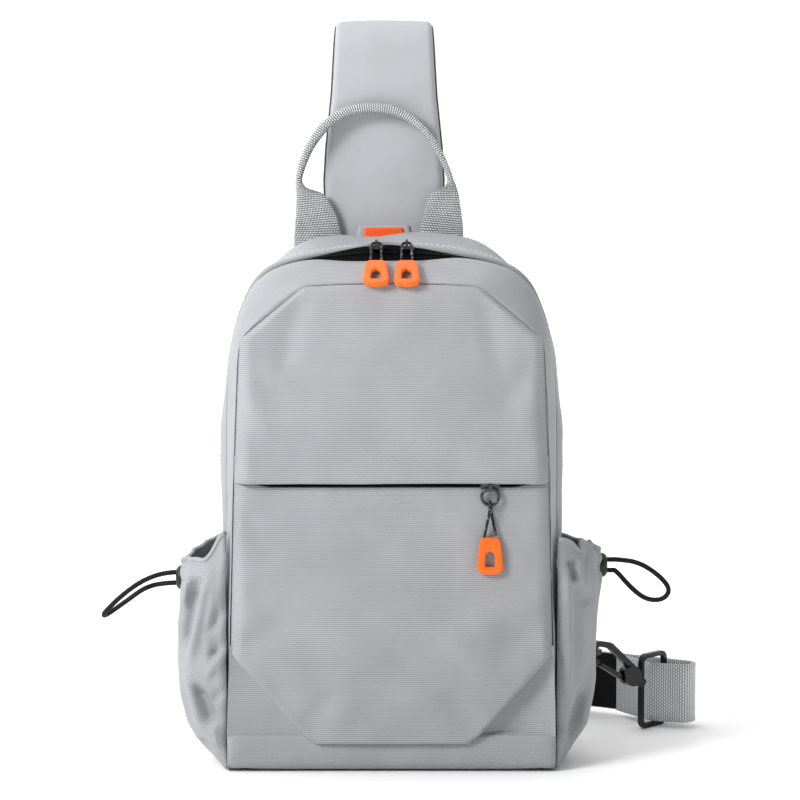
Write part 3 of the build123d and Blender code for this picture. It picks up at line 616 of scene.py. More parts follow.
pull_x = mid("front_zip_ring").x
pull_y = mid("front_zip_ring").y
grip_top = hi("front_pull_grip").z
ring_low = lo("front_zip_ring").z + 0.7
STANDOFF = 1.75
pull_start = (pull_x - 3.4, pull_y, grip_top + 0.2)
front_grip = pull_grip("front_grip", "front_pull_grip", "front_pull", Vector((pull_x, pull_y, grip_top)),
                       Vector((0, 0, -1)), Vector((0, -1, 0)))
front_cord = cord("front_pull_loop", [
    pull_start, (pull_x - 2.2, pull_y - 0.6, grip_top + 7),
    (pull_x - 0.6, pull_y - STANDOFF - 0.3, grip_top + 14),
    (pull_x, pull_y - STANDOFF - 0.1, ring_low + STANDOFF + 0.6),
    (pull_x, pull_y + STANDOFF + 0.1, ring_low + STANDOFF + 0.6),
    (pull_x + 0.6, pull_y + STANDOFF + 0.3, grip_top + 14),
    (pull_x + 2.2, pull_y + 0.6, grip_top + 7), (pull_x + 3.4, pull_y, grip_top + 0.2),
], PULL_CORD_R, speckled, "front_pull")
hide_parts("front_pull_cord")

BAIL_Y, BAIL_Z, PULL_DROP = -24.0, 313.4, 17.0
slope = math.radians(38.5)
pull_dir = Vector((0, -math.cos(slope), -math.sin(slope)))
for side, name in SIDES:
    bail = Vector((mid(f"main_slider_{name}").x, BAIL_Y, BAIL_Z))
    route = [bail + pull_dir * along + Vector((across, 0, 0)) for across, along in
             ((-3.2, PULL_DROP - 0.1), (-3.0, 10), (-2.8, 4.6), (-2.7, 0), (2.7, 0), (2.8, 4.6), (3.0, 10),
              (3.2, PULL_DROP - 0.1))]
    grip = pull_grip(f"main_grip_{name}", f"pull_grip_{name}", f"pull_{name}", bail + pull_dir * PULL_DROP,
                     pull_dir, Vector((0, -math.sin(slope), math.cos(slope))))
    loop = cord(f"main_pull_loop_{name}", route, PULL_CORD_R, speckled, f"pull_{name}")
    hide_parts(f"pull_cord_{name}")

# ---------------------------------------------------------------- outlines of the body
ARCH_RISE = 5.0
# depth, half width at the base, half width, shoulder height and top height, as the CAD's shell has them
STATIONS = [
    (-47.5, 96.0, 91.0, 205.0, 289.0),
    (-26.0, 98.0, 98.0, 220.0, 308.0),
    (-14.0, 98.5, 98.5, 222.0, 310.0),
    (28.0, 99.0, 101.0, 229.0, 320.0),
    (50.0, 96.0, 97.0, 225.0, 317.0),
]
BASE_TOP = hi("base_panel").z
CENTRE_Z = 200.0
SIDE_STEPS, TOP_STEPS = 36, 52


def station(y):
    """Base half width, half width, shoulder height and top height of the body at depth y."""
    for near, far in zip(STATIONS, STATIONS[1:]):
        if y <= far[0]:
            t = max(0.0, (y - near[0]) / (far[0] - near[0]))
            return [a + (b - a) * t for a, b in zip(near[1:], far[1:])]
    return STATIONS[-1][1:]


def arch_outline(y, inset=0.0):
    """Right half of the body's outline at depth y, from the base up to the top's middle, as (x, z)."""
    base, half, shoulder, top = station(y)
    points = [(base - inset, 0.0), (half - inset, shoulder)]
    corner = (half / 2, top - ARCH_RISE - inset)
    run, rise = half - inset - corner[0], corner[1] - shoulder
    radius = (run * run + rise * rise) / (2 * run)
    last = math.atan2(rise, corner[0] - (half - inset - radius))
    points += [(half - inset - radius + radius * math.cos(a), shoulder + radius * math.sin(a))
               for a in evenly(16, 0.0, last)[1:]]
    points += [(corner[0] * (1 - t), top - inset - ARCH_RISE * (1 - t) ** 2) for t in evenly(8)[1:]]
    return points


def directions():
    """Where an outline is sampled: heights up its side, then rays round its top."""
    side = [("z", BASE_TOP * 0.4 + (CENTRE_Z - BASE_TOP * 0.4) * k / SIDE_STEPS) for k in range(SIDE_STEPS)]
    return side + [("ray", math.pi / 2 * k / TOP_STEPS) for k in range(TOP_STEPS + 1)]


def cut(outline, kind, value):
    """Where a half outline meets a height, or a ray from the body's middle."""
    for (xa, za), (xb, zb) in zip(outline, outline[1:]):
        if kind == "z":
            a, b = za - value, zb - value
        else:
            c, s = math.cos(value), math.sin(value)
            a, b = (za - CENTRE_Z) * c - xa * s, (zb - CENTRE_Z) * c - xb * s
        if a <= 1e-9 <= b or a <= 0 <= b:
            t = 0.0 if b == a else -a / (b - a)
            return xa + (xb - xa) * t, za + (zb - za) * t
    return outline[-1]


def profile(outline, smooth=6):
    """The whole outline from the base on the left, over the top, to the base on the right, as (x, z)."""
    right = [cut(outline, kind, value) for kind, value in directions()]
    line = [(-x, z) for x, z in right[:-1]] + [(0.0, right[-1][1])] + list(reversed(right[:-1]))
    for _ in range(smooth):
        inner = [((a[0] + 2 * b[0] + c[0]) / 4, (a[1] + 2 * b[1] + c[1]) / 4)
                 for a, b, c in zip(line, line[1:], line[2:])]
        line = [line[0], *inner, line[-1]]
    return line


# right half of the zip's arch: a broad top, a tight shoulder and nearly upright sides
ZIP_ARCH = [(98.0, 0.0), (98.2, 200.0), (97.8, 228.0), (96.4, 246.0), (92.6, 266.5), (85.6, 285.5),
            (79.0, 293.6), (70.4, 299.4), (60.0, 302.6), (49.0, 304.8), (37.0, 306.3), (25.0, 307.3),
            (12.0, 307.8), (0.0, 308.0)]


def open_share(x):
    """How far the zip's mouth stands open at x, from 1 in the middle."""
    return 0.8 + 0.2 * math.exp(-(x / 42) ** 4)


def arch_profile(y, inset=0.0):
    """The body's outline at depth y: the zip's arch in front, easing into the back's arch."""
    rise = 2.0 * ease((y + 26) / 12)
    near = profile([(x - inset * min(1.0, x / 30), z + (rise * open_share(x) - inset) * ease((z - 190) / 70))
                    for x, z in ZIP_ARCH])
    if y <= -14:
        return near
    share = ease((y + 14) / 40)
    far = profile(arch_outline(y, inset))
    return [(a + (c - a) * share, b + (d - b) * share) for (a, b), (c, d) in zip(near, far)]


FLAP_TOP, FLAP_CHAMFER, HEM = hi("front_flap").z, 257.0, lo("front_flap").z
# height and half width of the front face
FACE_HALF = [(0, 97.2), (22, 97.0), (71, 95.8), (167.6, 93.2), (HEM, 93.0), (FLAP_CHAMFER, 89.6),
             (FLAP_TOP, 52.0)]
FACE_TOP_RISE = 1.5
face_outline = [(x, z) for z, x in FACE_HALF] + [(30.0, FLAP_TOP + 0.9), (0.0, FLAP_TOP + FACE_TOP_RISE)]
RIM_Y = -48.6
COLUMNS = 2 * (SIDE_STEPS + TOP_STEPS) + 1

# ---------------------------------------------------------------- front gusset
front_rim = profile(face_outline, 5)
zip_rim = arch_profile(-26.0)
GUSSET_ROWS = 16
SEAM_DEPTH = 2.2


def top_share(z):
    """0 on the sides of the body and 1 over its top."""
    return ease((z - 225) / 55)


# from the flap's seam, t = 0, back to the zip, t = 1; the cloth dips at the zip's mouth and under the grips
rows = []
for i, t in enumerate(evenly(GUSSET_ROWS)):
    line = []
    for (fx, fz), (bx, bz) in zip(front_rim, zip_rim):
        middle = math.exp(-((bx + 4) / 36) ** 4) * top_share(bz)
        under_grips = math.exp(-abs((bx + 4) / 50) ** 3) * top_share(bz)
        dip = under_grips + (middle - under_grips) * ease((t - 0.7) / 0.3)
        sag = 4.2 * dip * ease((t - 0.5) / 0.5)
        sag += (0.85 + 0.05 * middle) * top_share(bz) * ease((t - 0.7) / 0.3)
        crown = math.sin(math.pi * t ** 1.5) * (0.5 + (1.2 - 1.15 * under_grips) * top_share(bz))
        x, z = fx + (bx - fx) * t, fz + (bz - fz) * t
        spread = math.hypot(x, max(0.0, z - CENTRE_Z)) or 1.0
        y = RIM_Y + (-26.4 - RIM_Y) * t + (SEAM_DEPTH if i == 0 else 0)
        out = Vector((x, 0, max(0.0, z - CENTRE_Z))) / spread
        line.append(Vector((x, y, z - sag)) + out * crown + Vector((0, -0.35 * crown, 0)))
    rows.append(line)
lip = [Vector((p.x * 0.985, p.y + 1.3, p.z - 2.0 * ease((p.z - 150) / 100))) for p in rows[-1]]
inner = [Vector((p.x * 0.96, p.y + 0.2, p.z - 5.0 * ease((p.z - 150) / 100))) for p in rows[-1]]
rows += [lip, inner]


def front_wrinkle(p, i, j):
    """Unevenness of the front gusset, with puckers along its front seam."""
    edge = min(1.0, i / 3) * min(1.0, max(0, GUSSET_ROWS - i) / 3)
    pucker = 0.28 * ruffle(p, 6.0, 4.0) * (1 - ease(i / 5))
    soft = 1.0 * ruffle(p, 46.0, 1.0) + 0.4 * ruffle(p, 17.0, 2.0)
    return edge * soft + pucker


front_rows = displaced(rows, front_wrinkle)
front_gusset = grid("front_gusset_cloth", front_rows, shell)
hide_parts("front_gusset")

# ---------------------------------------------------------------- rear gusset
# one row of the cloth per depth: inset from the arch, swell at the sides and rise over the zip's mouth
depths = [-12.2, -14.2, -14.0, -12.4, -9, -5, 0, 5, 10, 16, 22, 28, 34, 39, 43, 46, 48.4, 49.7, 49.9]
insets = [5.0, 1.4, 0.2, -0.5, -0.9, -1.2, -1.4, -1.5, -1.5, -1.4, -1.2, -1.0, -0.9, -0.7, -0.4, 0.0, 0.8,
          2.2, 5.0]
swell = [0, 0, 0.4, 1.2, 2.6, 3.4, 3.9, 4.0, 3.9, 3.4, 2.8, 2.2, 1.6, 1.1, 0.6, 0.3, 0, 0, 0]
peak = [3.4, 4.4, 4.6, 4.2, 3.0, 1.9, 1.0, 0.5, 0.2, 0, 0, 0, 0, 0, 0, 0, 0, 0, 0]
rows = []
for y, inset, side_swell, rise in zip(depths, insets, swell, peak):
    line = []
    for x, z in arch_profile(min(y, 50), inset):
        grown = side_swell * (1 - ease((z - 195) / 45)) * (0.45 + 0.55 * ease(z / 90))
        mouth = 0.35 * bell(x + 8, 9) + 0.7 * bell(x + 5, 29) - 0.04 * bell(abs(x) - 58, 14)
        lift = rise * mouth * top_share(z)
        lift -= 3.4 * bell(x + 10, 18) * ease((y + 2) / 18) * ease((z - 290) / 20)
        line.append(Vector((x + math.copysign(grown, x), y, z + lift)))
    rows.append(line)


def rear_wrinkle(p, i, j):
    """Unevenness of the rear gusset, with puckers along the zip."""
    edge = min(1.0, max(0, i - 2) / 3) * min(1.0, max(0, len(depths) - 3 - i) / 3)
    soft = 1.1 * ruffle(p, 52.0, 7.0) + 0.45 * ruffle(p, 20.0, 3.0)
    pucker = 0.3 * ruffle(p, 6.5, 5.0) * ease(1 - (i - 2) / 3)
    sag = fold(abs(p.x), p.z, (99, 60), (101, 200), 60, -0.5)
    return edge * (soft + sag) + pucker * (1 if i > 1 else 0)


rear_rows = displaced(rows, rear_wrinkle)
rear_gusset = grid("rear_gusset_cloth", rear_rows, shell)
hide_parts("rear_gusset")
seam_columns = [k * 0.5 for k in range(16, 2 * (COLUMNS - 9))]
stitches("rear_gusset_topstitch", [surface_at(rear_rows, 5.7, j) for j in seam_columns], pale_thread)
stitches("rear_gusset_backstitch", [surface_at(rear_rows, 15.2, j) for j in seam_columns], thread)

# ---------------------------------------------------------------- main zip
# depth, inset from the arch, stand at the sides and lift in the middle of each row of the tape
TAPE = [(-27.0, 3.2, 0.2, -4.2), (-24, 2.6, 1.2, -1.6), (-21.6, 2.2, 1.8, 0), (-20.0, 2.1, 2.0, 0),
        (-18.4, 2.2, 1.8, 0.6), (-16, 2.4, 1.2, 3.2), (-14.4, 2.2, 0.4, 4.4), (-13.0, 2.2, 0.2, 4.4)]
tape_rows = []
for y, inset, proud, rise in TAPE:
    line = []
    for x, z in arch_profile(y, inset):
        lift = rise * bell(x + 4, 31) * top_share(z)
        line.append(Vector((x + math.copysign(proud * (1 - top_share(z)), x), y, z + lift)))
    tape_rows.append(line)
main_tape = grid("main_zip_tape_cloth", tape_rows, tape)
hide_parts("main_zip_tape")


def coil(name, spine, out, pitch, width, height, material):
    """The nylon coil of a zip: a flattened spiral along spine; out is its outward direction at each point."""
    ways = tangents(spine)
    run = lengths(spine)
    turns = int(run[-1] / pitch)
    per, sides, k = 10, 5, 0
    rows = []
    for n in range(turns * per):
        s = n * pitch / per
        while k < len(spine) - 2 and run[k + 1] < s:
            k += 1
        t = (s - run[k]) / max(run[k + 1] - run[k], 1e-9)
        centre, way, up = spine[k].lerp(spine[k + 1], t), ways[k].lerp(ways[k + 1], t).normalized(), out[k]
        across = way.cross(up).normalized()
        angle = 2 * math.pi * n / per
        place = centre + across * (width / 2 * math.cos(angle)) + up * (height / 2 * math.sin(angle))
        outward = (across * math.cos(angle) + up * math.sin(angle)).normalized()
        rows.append([place + outward * (0.32 * math.cos(a)) + way * (0.32 * math.sin(a))
                     for a in (2 * math.pi * m / sides for m in range(sides))])
    return grid(name, rows, material, loop=True)


coil_line = arch_profile(-20.0, 1.5)[9:-9]
coil_spine = resample([Vector((x + math.copysign(1.6 * (1 - top_share(z)), x), -20.0, z))
                       for x, z in coil_line], 3.0)
coil_out = [Vector((-t.z, 0, t.x)) for t in tangents(coil_spine)]
main_coil = coil("main_zip_spiral", coil_spine, coil_out, 1.6, 3.6, 0.9, coil_nylon)
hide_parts("main_zip_coil")

# ---------------------------------------------------------------- front flap
HEM_STAND = -lo("front_flap").y
# height and how far forward the flap stands there
FLAP_STAND = [(HEM, HEM_STAND - 0.1), (186, HEM_STAND - 0.9), (215, 52.4), (262, 51.2), (FLAP_TOP, 49.4)]
U_STEPS = 96
face_columns = evenly(U_STEPS, -1, 1)


def half_at(z):
    """Half width of the front face at height z."""
    return between(z, FACE_HALF)


def flap_point(u, z):
    """Place on the flap: u from -1 at its left edge to 1 at its right edge."""
    half = half_at(z)
    stand = between(z, FLAP_STAND) + 3.0 * (1 - u * u) * hump(clamp((z - HEM) / (FLAP_TOP - 6 - HEM)), 1.5)
    edge = (1 - abs(u)) * half
    round_off = 1 - (1 - min(1.0, edge / (10 - 5 * top_share(z)))) ** 2.2
    top = 1 - (1 - min(1.0, (FLAP_TOP + FACE_TOP_RISE * (1 - u * u) - z) / 7)) ** 2.2
    foot = RIM_Y + SEAM_DEPTH
    y = foot - (stand + foot) * min(round_off, 1.0) * (0.25 + 0.75 * top)
    return Vector((u * half, y, z + FACE_TOP_RISE * (1 - u * u) * ease((z - 262) / 26)))


FLAP_ROWS = 54
rows = [[flap_point(u, z) for u in face_columns] for z in evenly(FLAP_ROWS, FLAP_TOP, HEM + 1.2)]
front = rows[-1]
for drop, back in ((0.75, 0.35), (1.2, 1.1), (1.25, 2.1), (0.6, 3.0), (-1.5, 3.5), (-8, 4.2), (-15, 4.9)):
    rows.append([Vector((p.x, min(p.y + back, max(p.y, -48.9)), p.z - drop)) for p in front])


# creases as ends (x, z), width and height; those of a PAIRS list are on both sides
FLAP_PAIRS = [((52, 286), (66, 232), 7, 0.9), ((89, 250), (58, 214), 8, 0.8),
              ((90, 243), (72, 196), 6, -0.55)]
FLAP_CREASES = [((-84, 186), (-20, 178), 5, 0.5), ((84, 190), (12, 181), 5, 0.4),
                ((20, 287), (-6, 250), 9, -0.5)]


def flap_wrinkle(p, i, j):
    """Slack and creases of the flap."""
    u = abs(face_columns[j])
    keep = min(1.0, (1 - u) * 14) * min(1.0, i / 5) * (1.0 if i < FLAP_ROWS - 2 else 0.35)
    soft = 0.85 * ruffle(p, 58.0, 11.0) + 0.3 * ruffle(p, 21.0, 12.0)
    pulls = sum(fold(abs(p.x), p.z, *crease) for crease in FLAP_PAIRS)
    pulls += sum(fold(p.x, p.z, *crease) for crease in FLAP_CREASES)
    return keep * (1.5 * soft + 1.7 * pulls)


flap_rows = displaced(rows, flap_wrinkle)
flap = grid("front_flap_cloth", flap_rows, shell, flat=True)
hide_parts("front_flap")

# ---------------------------------------------------------------- lower front panel
POCKET_TOP, BAND_TOP, CORNER = hi("front_panel").z, 22.0, 71.0
POCKET_LOW = lo("front_panel").z
PANEL_HALF = [(POCKET_LOW, 45.0), (BAND_TOP, 52.4), (CORNER, 95.4), (POCKET_TOP, 92.9)]
PANEL_STAND = [(POCKET_LOW, 52.6), (26, 52.9), (50, 53.4), (82, 53.2), (104, 51.4), (122, 50.4),
               (160, 50.1), (POCKET_TOP, 49.8)]


def panel_point(u, z):
    """Place on the lower panel: u from -1 at its left edge to 1 at its right edge."""
    half = between(z, PANEL_HALF)
    stand = between(z, PANEL_STAND) + 3.4 * (1 - u * u) * hump(clamp((z - 14) / 106), 1.5)
    edge = (1 - abs(u)) * half
    sewn = ease((z - CORNER + 4) / 8)
    reach = 9 * sewn + 3.2 * (1 - sewn)
    round_off = 1 - (1 - min(1.0, edge / reach)) ** 2.4
    foot = (RIM_Y + SEAM_DEPTH) * sewn + (-47.6) * (1 - sewn)
    return Vector((u * half, foot - (stand + foot) * round_off, z))


PANEL_ROWS = 72
rows = [[panel_point(u, z) for u in face_columns] for z in evenly(PANEL_ROWS, POCKET_TOP, POCKET_LOW + 1.0)]
top_edge, bottom_edge = rows[0], rows[-1]
SLIT_END = 84.0


def slit_lift(x):
    """The panel's top edge rises to the flap where the zip ends."""
    return 2.1 + 2.6 * ease((abs(x) - 70) / 18)


rows = [[Vector((p.x * 0.998, min(p.y + back, -47.2), p.z + rise + slit_lift(p.x))) for p in top_edge]
        for rise, back in ((-1.0, 2.2), (0.3, 1.7), (0.8, 0.8), (0.2, 0.1))] + rows
for drop, back in ((0.7, 0.5), (1.0, 1.4), (0.8, 2.4), (-1.0, 3.4)):
    rows.append([Vector((p.x, min(p.y + back, max(p.y, -47.6)), p.z - drop)) for p in bottom_edge])


PANEL_PAIRS = [((94, 74), (56, 92), 8, 0.9), ((93, 68), (40, 62), 9, -0.7), ((54, 24), (30, 52), 7, 0.8),
               ((95, 120), (78, 84), 9, -0.6)]
PANEL_CREASES = [((-30, 20), (-8, 44), 8, 0.5), ((92, 128), (22, 56), 15, -1.1),
                 ((94, 104), (60, 62), 8, 0.8), ((-90, 158), (-66, 118), 8, 0.6),
                 ((88, 162), (76, 112), 6, -0.8), ((-80, 52), (-30, 44), 10, 0.6)]


def panel_wrinkle(p, i, j):
    """Slack and creases of the lower panel, calm behind the hanging pull."""
    u = abs(face_columns[j])
    keep = min(1.0, (1 - u) * 12) * clamp((POCKET_TOP - p.z) / 12) * clamp((p.z - 18) / 7)
    calm = 0.3 if (40 < p.x < 93 and p.z > 108) else 1.0
    soft = 0.9 * ruffle(p, 62.0, 21.0) + 0.3 * ruffle(p, 22.0, 22.0)
    pulls = sum(fold(abs(p.x), p.z, *crease) for crease in PANEL_PAIRS)
    pulls += sum(fold(p.x, p.z, *crease) for crease in PANEL_CREASES)
    return keep * calm * (1.5 * soft + 1.7 * pulls)


panel_rows = displaced(rows, panel_wrinkle)
panel = grid("front_panel_cloth", panel_rows, shell, flat=True)
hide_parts("front_panel")

# ---------------------------------------------------------------- corner gussets and bottom band
for side, name in SIDES:
    rows = []
    for z in evenly(24, CORNER + 5, BAND_TOP - 0.5):
        inner_x = between(z, PANEL_HALF) - 9
        line = []
        for t in evenly(24):
            x = side * (inner_x + (half_at(z) + 0.3 - inner_x) * t)
            dish = (2.0 if side < 0 else 5.5) * hump(t, 0.8) * ease((half_at(z) - inner_x) / 30)
            y = -48.7 + dish * 0.6 + 0.9 * ruffle(Vector((x, 0, z)), 26.0, 31.0) * hump(t)
            line.append(Vector((x, y, z)))
        rows.append(line)
    gusset = grid(f"corner_gusset_cloth_{name}", rows, shell, flip=side < 0, flat=True)
    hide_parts(f"corner_gusset_{name}")

BAND_HALF = 97.4
BAND = [(BAND_TOP + 2.5, -45.2), (BAND_TOP + 0.7, -47.4), (BAND_TOP + 0.2, -48.6), (BAND_TOP - 1.2, -49.2),
        (17, -49.4), (12, -49.7), (7.5, -49.5), (5.0, -49.0), (3.2, -48.0), (2.2, -46.6), (1.7, -44.0)]
rows = []
for z, y in BAND:
    line = []
    for u in evenly(120, -1, 1):
        corner = max(0.0, abs(u) - 0.955) / 0.045
        x = u * BAND_HALF
        line.append(Vector((x, y + 1.6 * corner * corner, z + 0.25 * ruffle(Vector((x, 0, z)), 30.0, 41.0))))
    rows.append(line)
band = grid("bottom_band_cloth", rows, shell, flat=True)
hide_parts("bottom_band")

# ---------------------------------------------------------------- base
base_lo, base_hi = lo("base_panel"), hi("base_panel")
rows = []
for z, inset in ((3.0, 0.6), (2.2, 0.9), (1.5, 2.0), (0.8, 4.5), (0.15, 9.0), (0.1, 30.0), (0.1, 47.0)):
    line = []
    for k in range(96):
        a = 2 * math.pi * k / 96
        c, s = math.cos(a), math.sin(a)
        x = squared(c, 0.16) * ((base_hi.x - base_lo.x) / 2 - inset * 0.9)
        y = squared(s, 0.16) * ((base_hi.y - base_lo.y) / 2 - inset)
        line.append(Vector((x, y + (base_hi.y + base_lo.y) / 2, z)))
    rows.append(line)
base = grid("base_cloth", rows, shell, loop=True, flip=True)
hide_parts("base_panel")

# ---------------------------------------------------------------- front zip
tape_half = SLIT_END + 3
tape_low, tape_top = lo("front_zip_tape").z - 4, hi("front_zip_tape").z + 2
rows = [[Vector((tape_half * u, y, z)) for u in evenly(60, -1, 1)]
        for z, y in ((tape_low, -48.0), (168, -48.4), (171, -48.6), (174, -48.7), (178, -48.4),
                     (tape_top, -47.8))]
front_tape = grid("front_zip_tape_cloth", rows, tape)
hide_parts("front_zip_tape")
coil_z = mid("front_zip_coil").z
coil_half = hi("front_zip_coil").x
spine = [Vector((x, -49.2, coil_z)) for x in (-coil_half + 4 * k for k in range(int(coil_half / 2) + 1))]
forward = [Vector((0, -1, 0))] * len(spine)
front_coil = coil("front_zip_spiral", spine, forward, 1.6, 3.4, 0.8, coil_nylon)
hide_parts("front_zip_coil")

# ---------------------------------------------------------------- back panel, pads and inside panels
back_line = profile(arch_outline(50.0, 0.8))


def filled(line, y_at, steps=30):
    """Rows of a panel inside an outline, level by level from the outline's middle out."""
    middle_z = 150
    rows = [[Vector((x * t, 0, middle_z + (z - middle_z) * t)) for x, z in line + line[:1]]
            for t in evenly(steps)]
    return [[Vector((p.x, y_at(p, i / steps), p.z)) for p in row] for i, row in enumerate(rows)]


closed_back = back_line + [(back_line[-1][0] * (1 - 2 * k / 24), 1.2) for k in range(1, 24)]


def back_depth(p, t):
    """Depth of the back panel, slightly domed: t from 0 in its middle to 1 at its edge."""
    return 50.0 + 1.6 * (1 - t ** 6) * ease((1 - t) * 8) + 0.4 * ruffle(p, 40.0, 51.0) * (1 - t)


rows = filled(closed_back, back_depth)
back = grid("back_panel_cloth", rows, back_cloth, flip=True)
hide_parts("back_panel")
edge_points = [Vector((x, 50.2, z)) for x, z in profile(arch_outline(50.0, 0.4))]
tube("back_seam_binding", edge_points, 1.5, strap_cloth_painted_lighter, sides=10)

for side, name in SIDES:
    node = f"back_pad_{name}"
    centre, half = mid(node), half_size(node)
    rows = []
    for v in evenly(60, -1, 1):
        line = []
        for u in evenly(32, -1, 1):
            x = centre.x + u * half.x * (1 - 0.16 * abs(v) ** 8)
            z = centre.z + v * half.z * (1 - 0.05 * abs(u) ** 5)
            puff = (max(0.0, 1 - abs(u) ** 3.2) * max(0.0, 1 - abs(v) ** 16)) ** 0.55
            channel = sum(bell(z - (centre.z + c), 2.6) for c in (-75, -25, 25, 75))
            uneven = 0.3 * ruffle(Vector((x, 0, z)), 22.0, 61.0) * puff
            line.append(Vector((x, 50.6 + puff * (5.6 - 2.6 * min(1.0, channel)) + uneven, z)))
        rows.append(line)
    pad = grid(f"back_pad_mesh_{name}", rows, air_mesh)
    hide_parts(node)
    rim = rows[0][:-1] + [row[-1] for row in rows[:-1]] + rows[-1][:0:-1] + [row[0] for row in rows[:0:-1]]
    tube(f"back_pad_welt_{name}", rim, 0.9, back_cloth, sides=8, closed=True)

for node in ("inner_sleeve", "front_wall"):
    centre, half = mid(node), half_size(node)
    rows = []
    for i, v in enumerate(evenly(30, -1, 1)):
        z, half_w = centre.z - v * half.z, half.x
        if node == "front_wall":
            half_w = min(half_w, cut(arch_outline(centre.y, 4), "z", min(z, 282))[0])
        slack = [0.4 * ruffle(Vector((j * 7.0, 0, i * 6.0)), 30.0, 71.0) for j in range(25)]
        rows.append([Vector((half_w * u, centre.y + y, z)) for u, y in zip(evenly(24, -1, 1), slack)])
    inside = thicken(grid(f"{node}_cloth", rows, lining), 1.0, 0.0)
    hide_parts(node)

# ---------------------------------------------------------------- padded strap
STRAP_X = mid("strap_foam").x
STRAP_PATH = [(54.6, 296.0), (58.2, 447.0), (98.0, 447.0), (140.0, 120.0)]
STRAP_BEND = 17.0


def rounded(points, radius, step):
    """A line with its corners rounded to radius, evenly sampled."""
    line = [points[0]]
    for a, b, c in zip(points, points[1:], points[2:]):
        before, after = (a - b).normalized(), (c - b).normalized()
        half = math.acos(max(-1.0, min(1.0, before.dot(after)))) / 2
        reach = radius / math.tan(half)
        centre = b + (before + after).normalized() * (radius / math.sin(half))
        start, end = b + before * reach - centre, b + after * reach - centre
        turn = math.acos(max(-1.0, min(1.0, start.normalized().dot(end.normalized()))))
        for t in evenly(16):
            spoke = start * math.sin((1 - t) * turn) + end * math.sin(t * turn)
            line.append(centre + spoke / math.sin(turn))
    return resample(line + [points[-1]], step)


strap_line = rounded([Vector((STRAP_X, y, z)) for y, z in STRAP_PATH], STRAP_BEND, 4.0)
strap_ways = tangents(strap_line)
top_at = max(range(len(strap_line)), key=lambda k: strap_line[k].z)


# height and half width of the strap in front and behind
STRAP_FRONT = [(296, 29), (312, 33), (330, 37.4), (352, 38.0), (372, 36.8), (405, 33.4), (430, 32), (447, 31)]
STRAP_REAR = [(118, 19), (135, 24), (160, 31), (190, 36), (330, 37.5), (405, 33), (446, 31)]


def strap_half(k):
    """Half width of the strap at point k of its line."""
    return between(strap_line[k].z, STRAP_FRONT if k < top_at else STRAP_REAR)


pad_rows, face_rows = [], []
THICK = 3.5
for k, (point, way) in enumerate(zip(strap_line, strap_ways)):
    out = Vector((0, -way.z, way.y))
    half = strap_half(k)
    end = ease(k / 5) * ease((len(strap_line) - 1 - k) / 6)
    crown = 1.0 * end
    thin = 0.45 + 0.55 * end
    ring = []
    for m in range(40):
        a = 2 * math.pi * m / 40
        c, s = math.cos(a), math.sin(a)
        x = squared(c, 0.28)
        bulge = crown * (1 if s > 0 else 0.8) * (1 - x * x)
        rise = squared(s, 0.75) * THICK * thin + math.copysign(bulge, s) * abs(s)
        ring.append(point + Vector((x * half, 0, 0)) + out * rise)
    pad_rows.append(ring)
    sheet = []
    for x in evenly(32, -1, 1):
        wrap = max(0.0, abs(x) - 0.93) / 0.07
        rise = THICK * thin + crown * (1 - x * x) + 0.35 - 1.9 * wrap * wrap
        wave = 0.35 * ruffle(point + Vector((x * half, 0, 0)), 30.0, 81.0) * (1 - wrap)
        sheet.append(point + Vector((x * (half - 1.3), 0, 0)) + out * (rise + wave))
    face_rows.append(sheet)
strap_pad = grid("strap_pad_mesh", pad_rows, air_mesh, loop=True, caps=True)
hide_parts("strap_foam", "strap_mesh")
strap_face = thicken(grid("strap_face_cloth", face_rows, strap_cloth_painted_lighter), 0.5, 0.0)
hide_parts("strap_face")

# ---------------------------------------------------------------- blank patch on the strap's foot
patch_lo, patch_hi = lo("label_patch"), hi("label_patch")
rows, border = [], []
for v in evenly(12):
    z = patch_hi.z - (patch_hi.z - patch_lo.z) * v
    half = (patch_hi.x - patch_lo.x) / 2 * (0.74 + 0.26 * v)
    y = patch_lo.y - 0.8 - 2.4 * ease(v) * 0.5
    across = evenly(16, -1, 1)
    rows.append([Vector((STRAP_X + half * u, y + 0.5 * abs(u) ** 6, z)) for u in across])
    border.append([Vector((STRAP_X + (half + 4) * u, y + 0.7, z + 1.5 - 3 * v)) for u in across])
patch = thicken(grid("blank_patch", rows, patch_orange), 0.9, 0.0)
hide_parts("label_patch")
thicken(grid("patch_backing", border, strap_cloth_painted_lighter), 0.5, 0.0)

# ---------------------------------------------------------------- grab handle
HANDLE_Y = mid("grab_handle").y
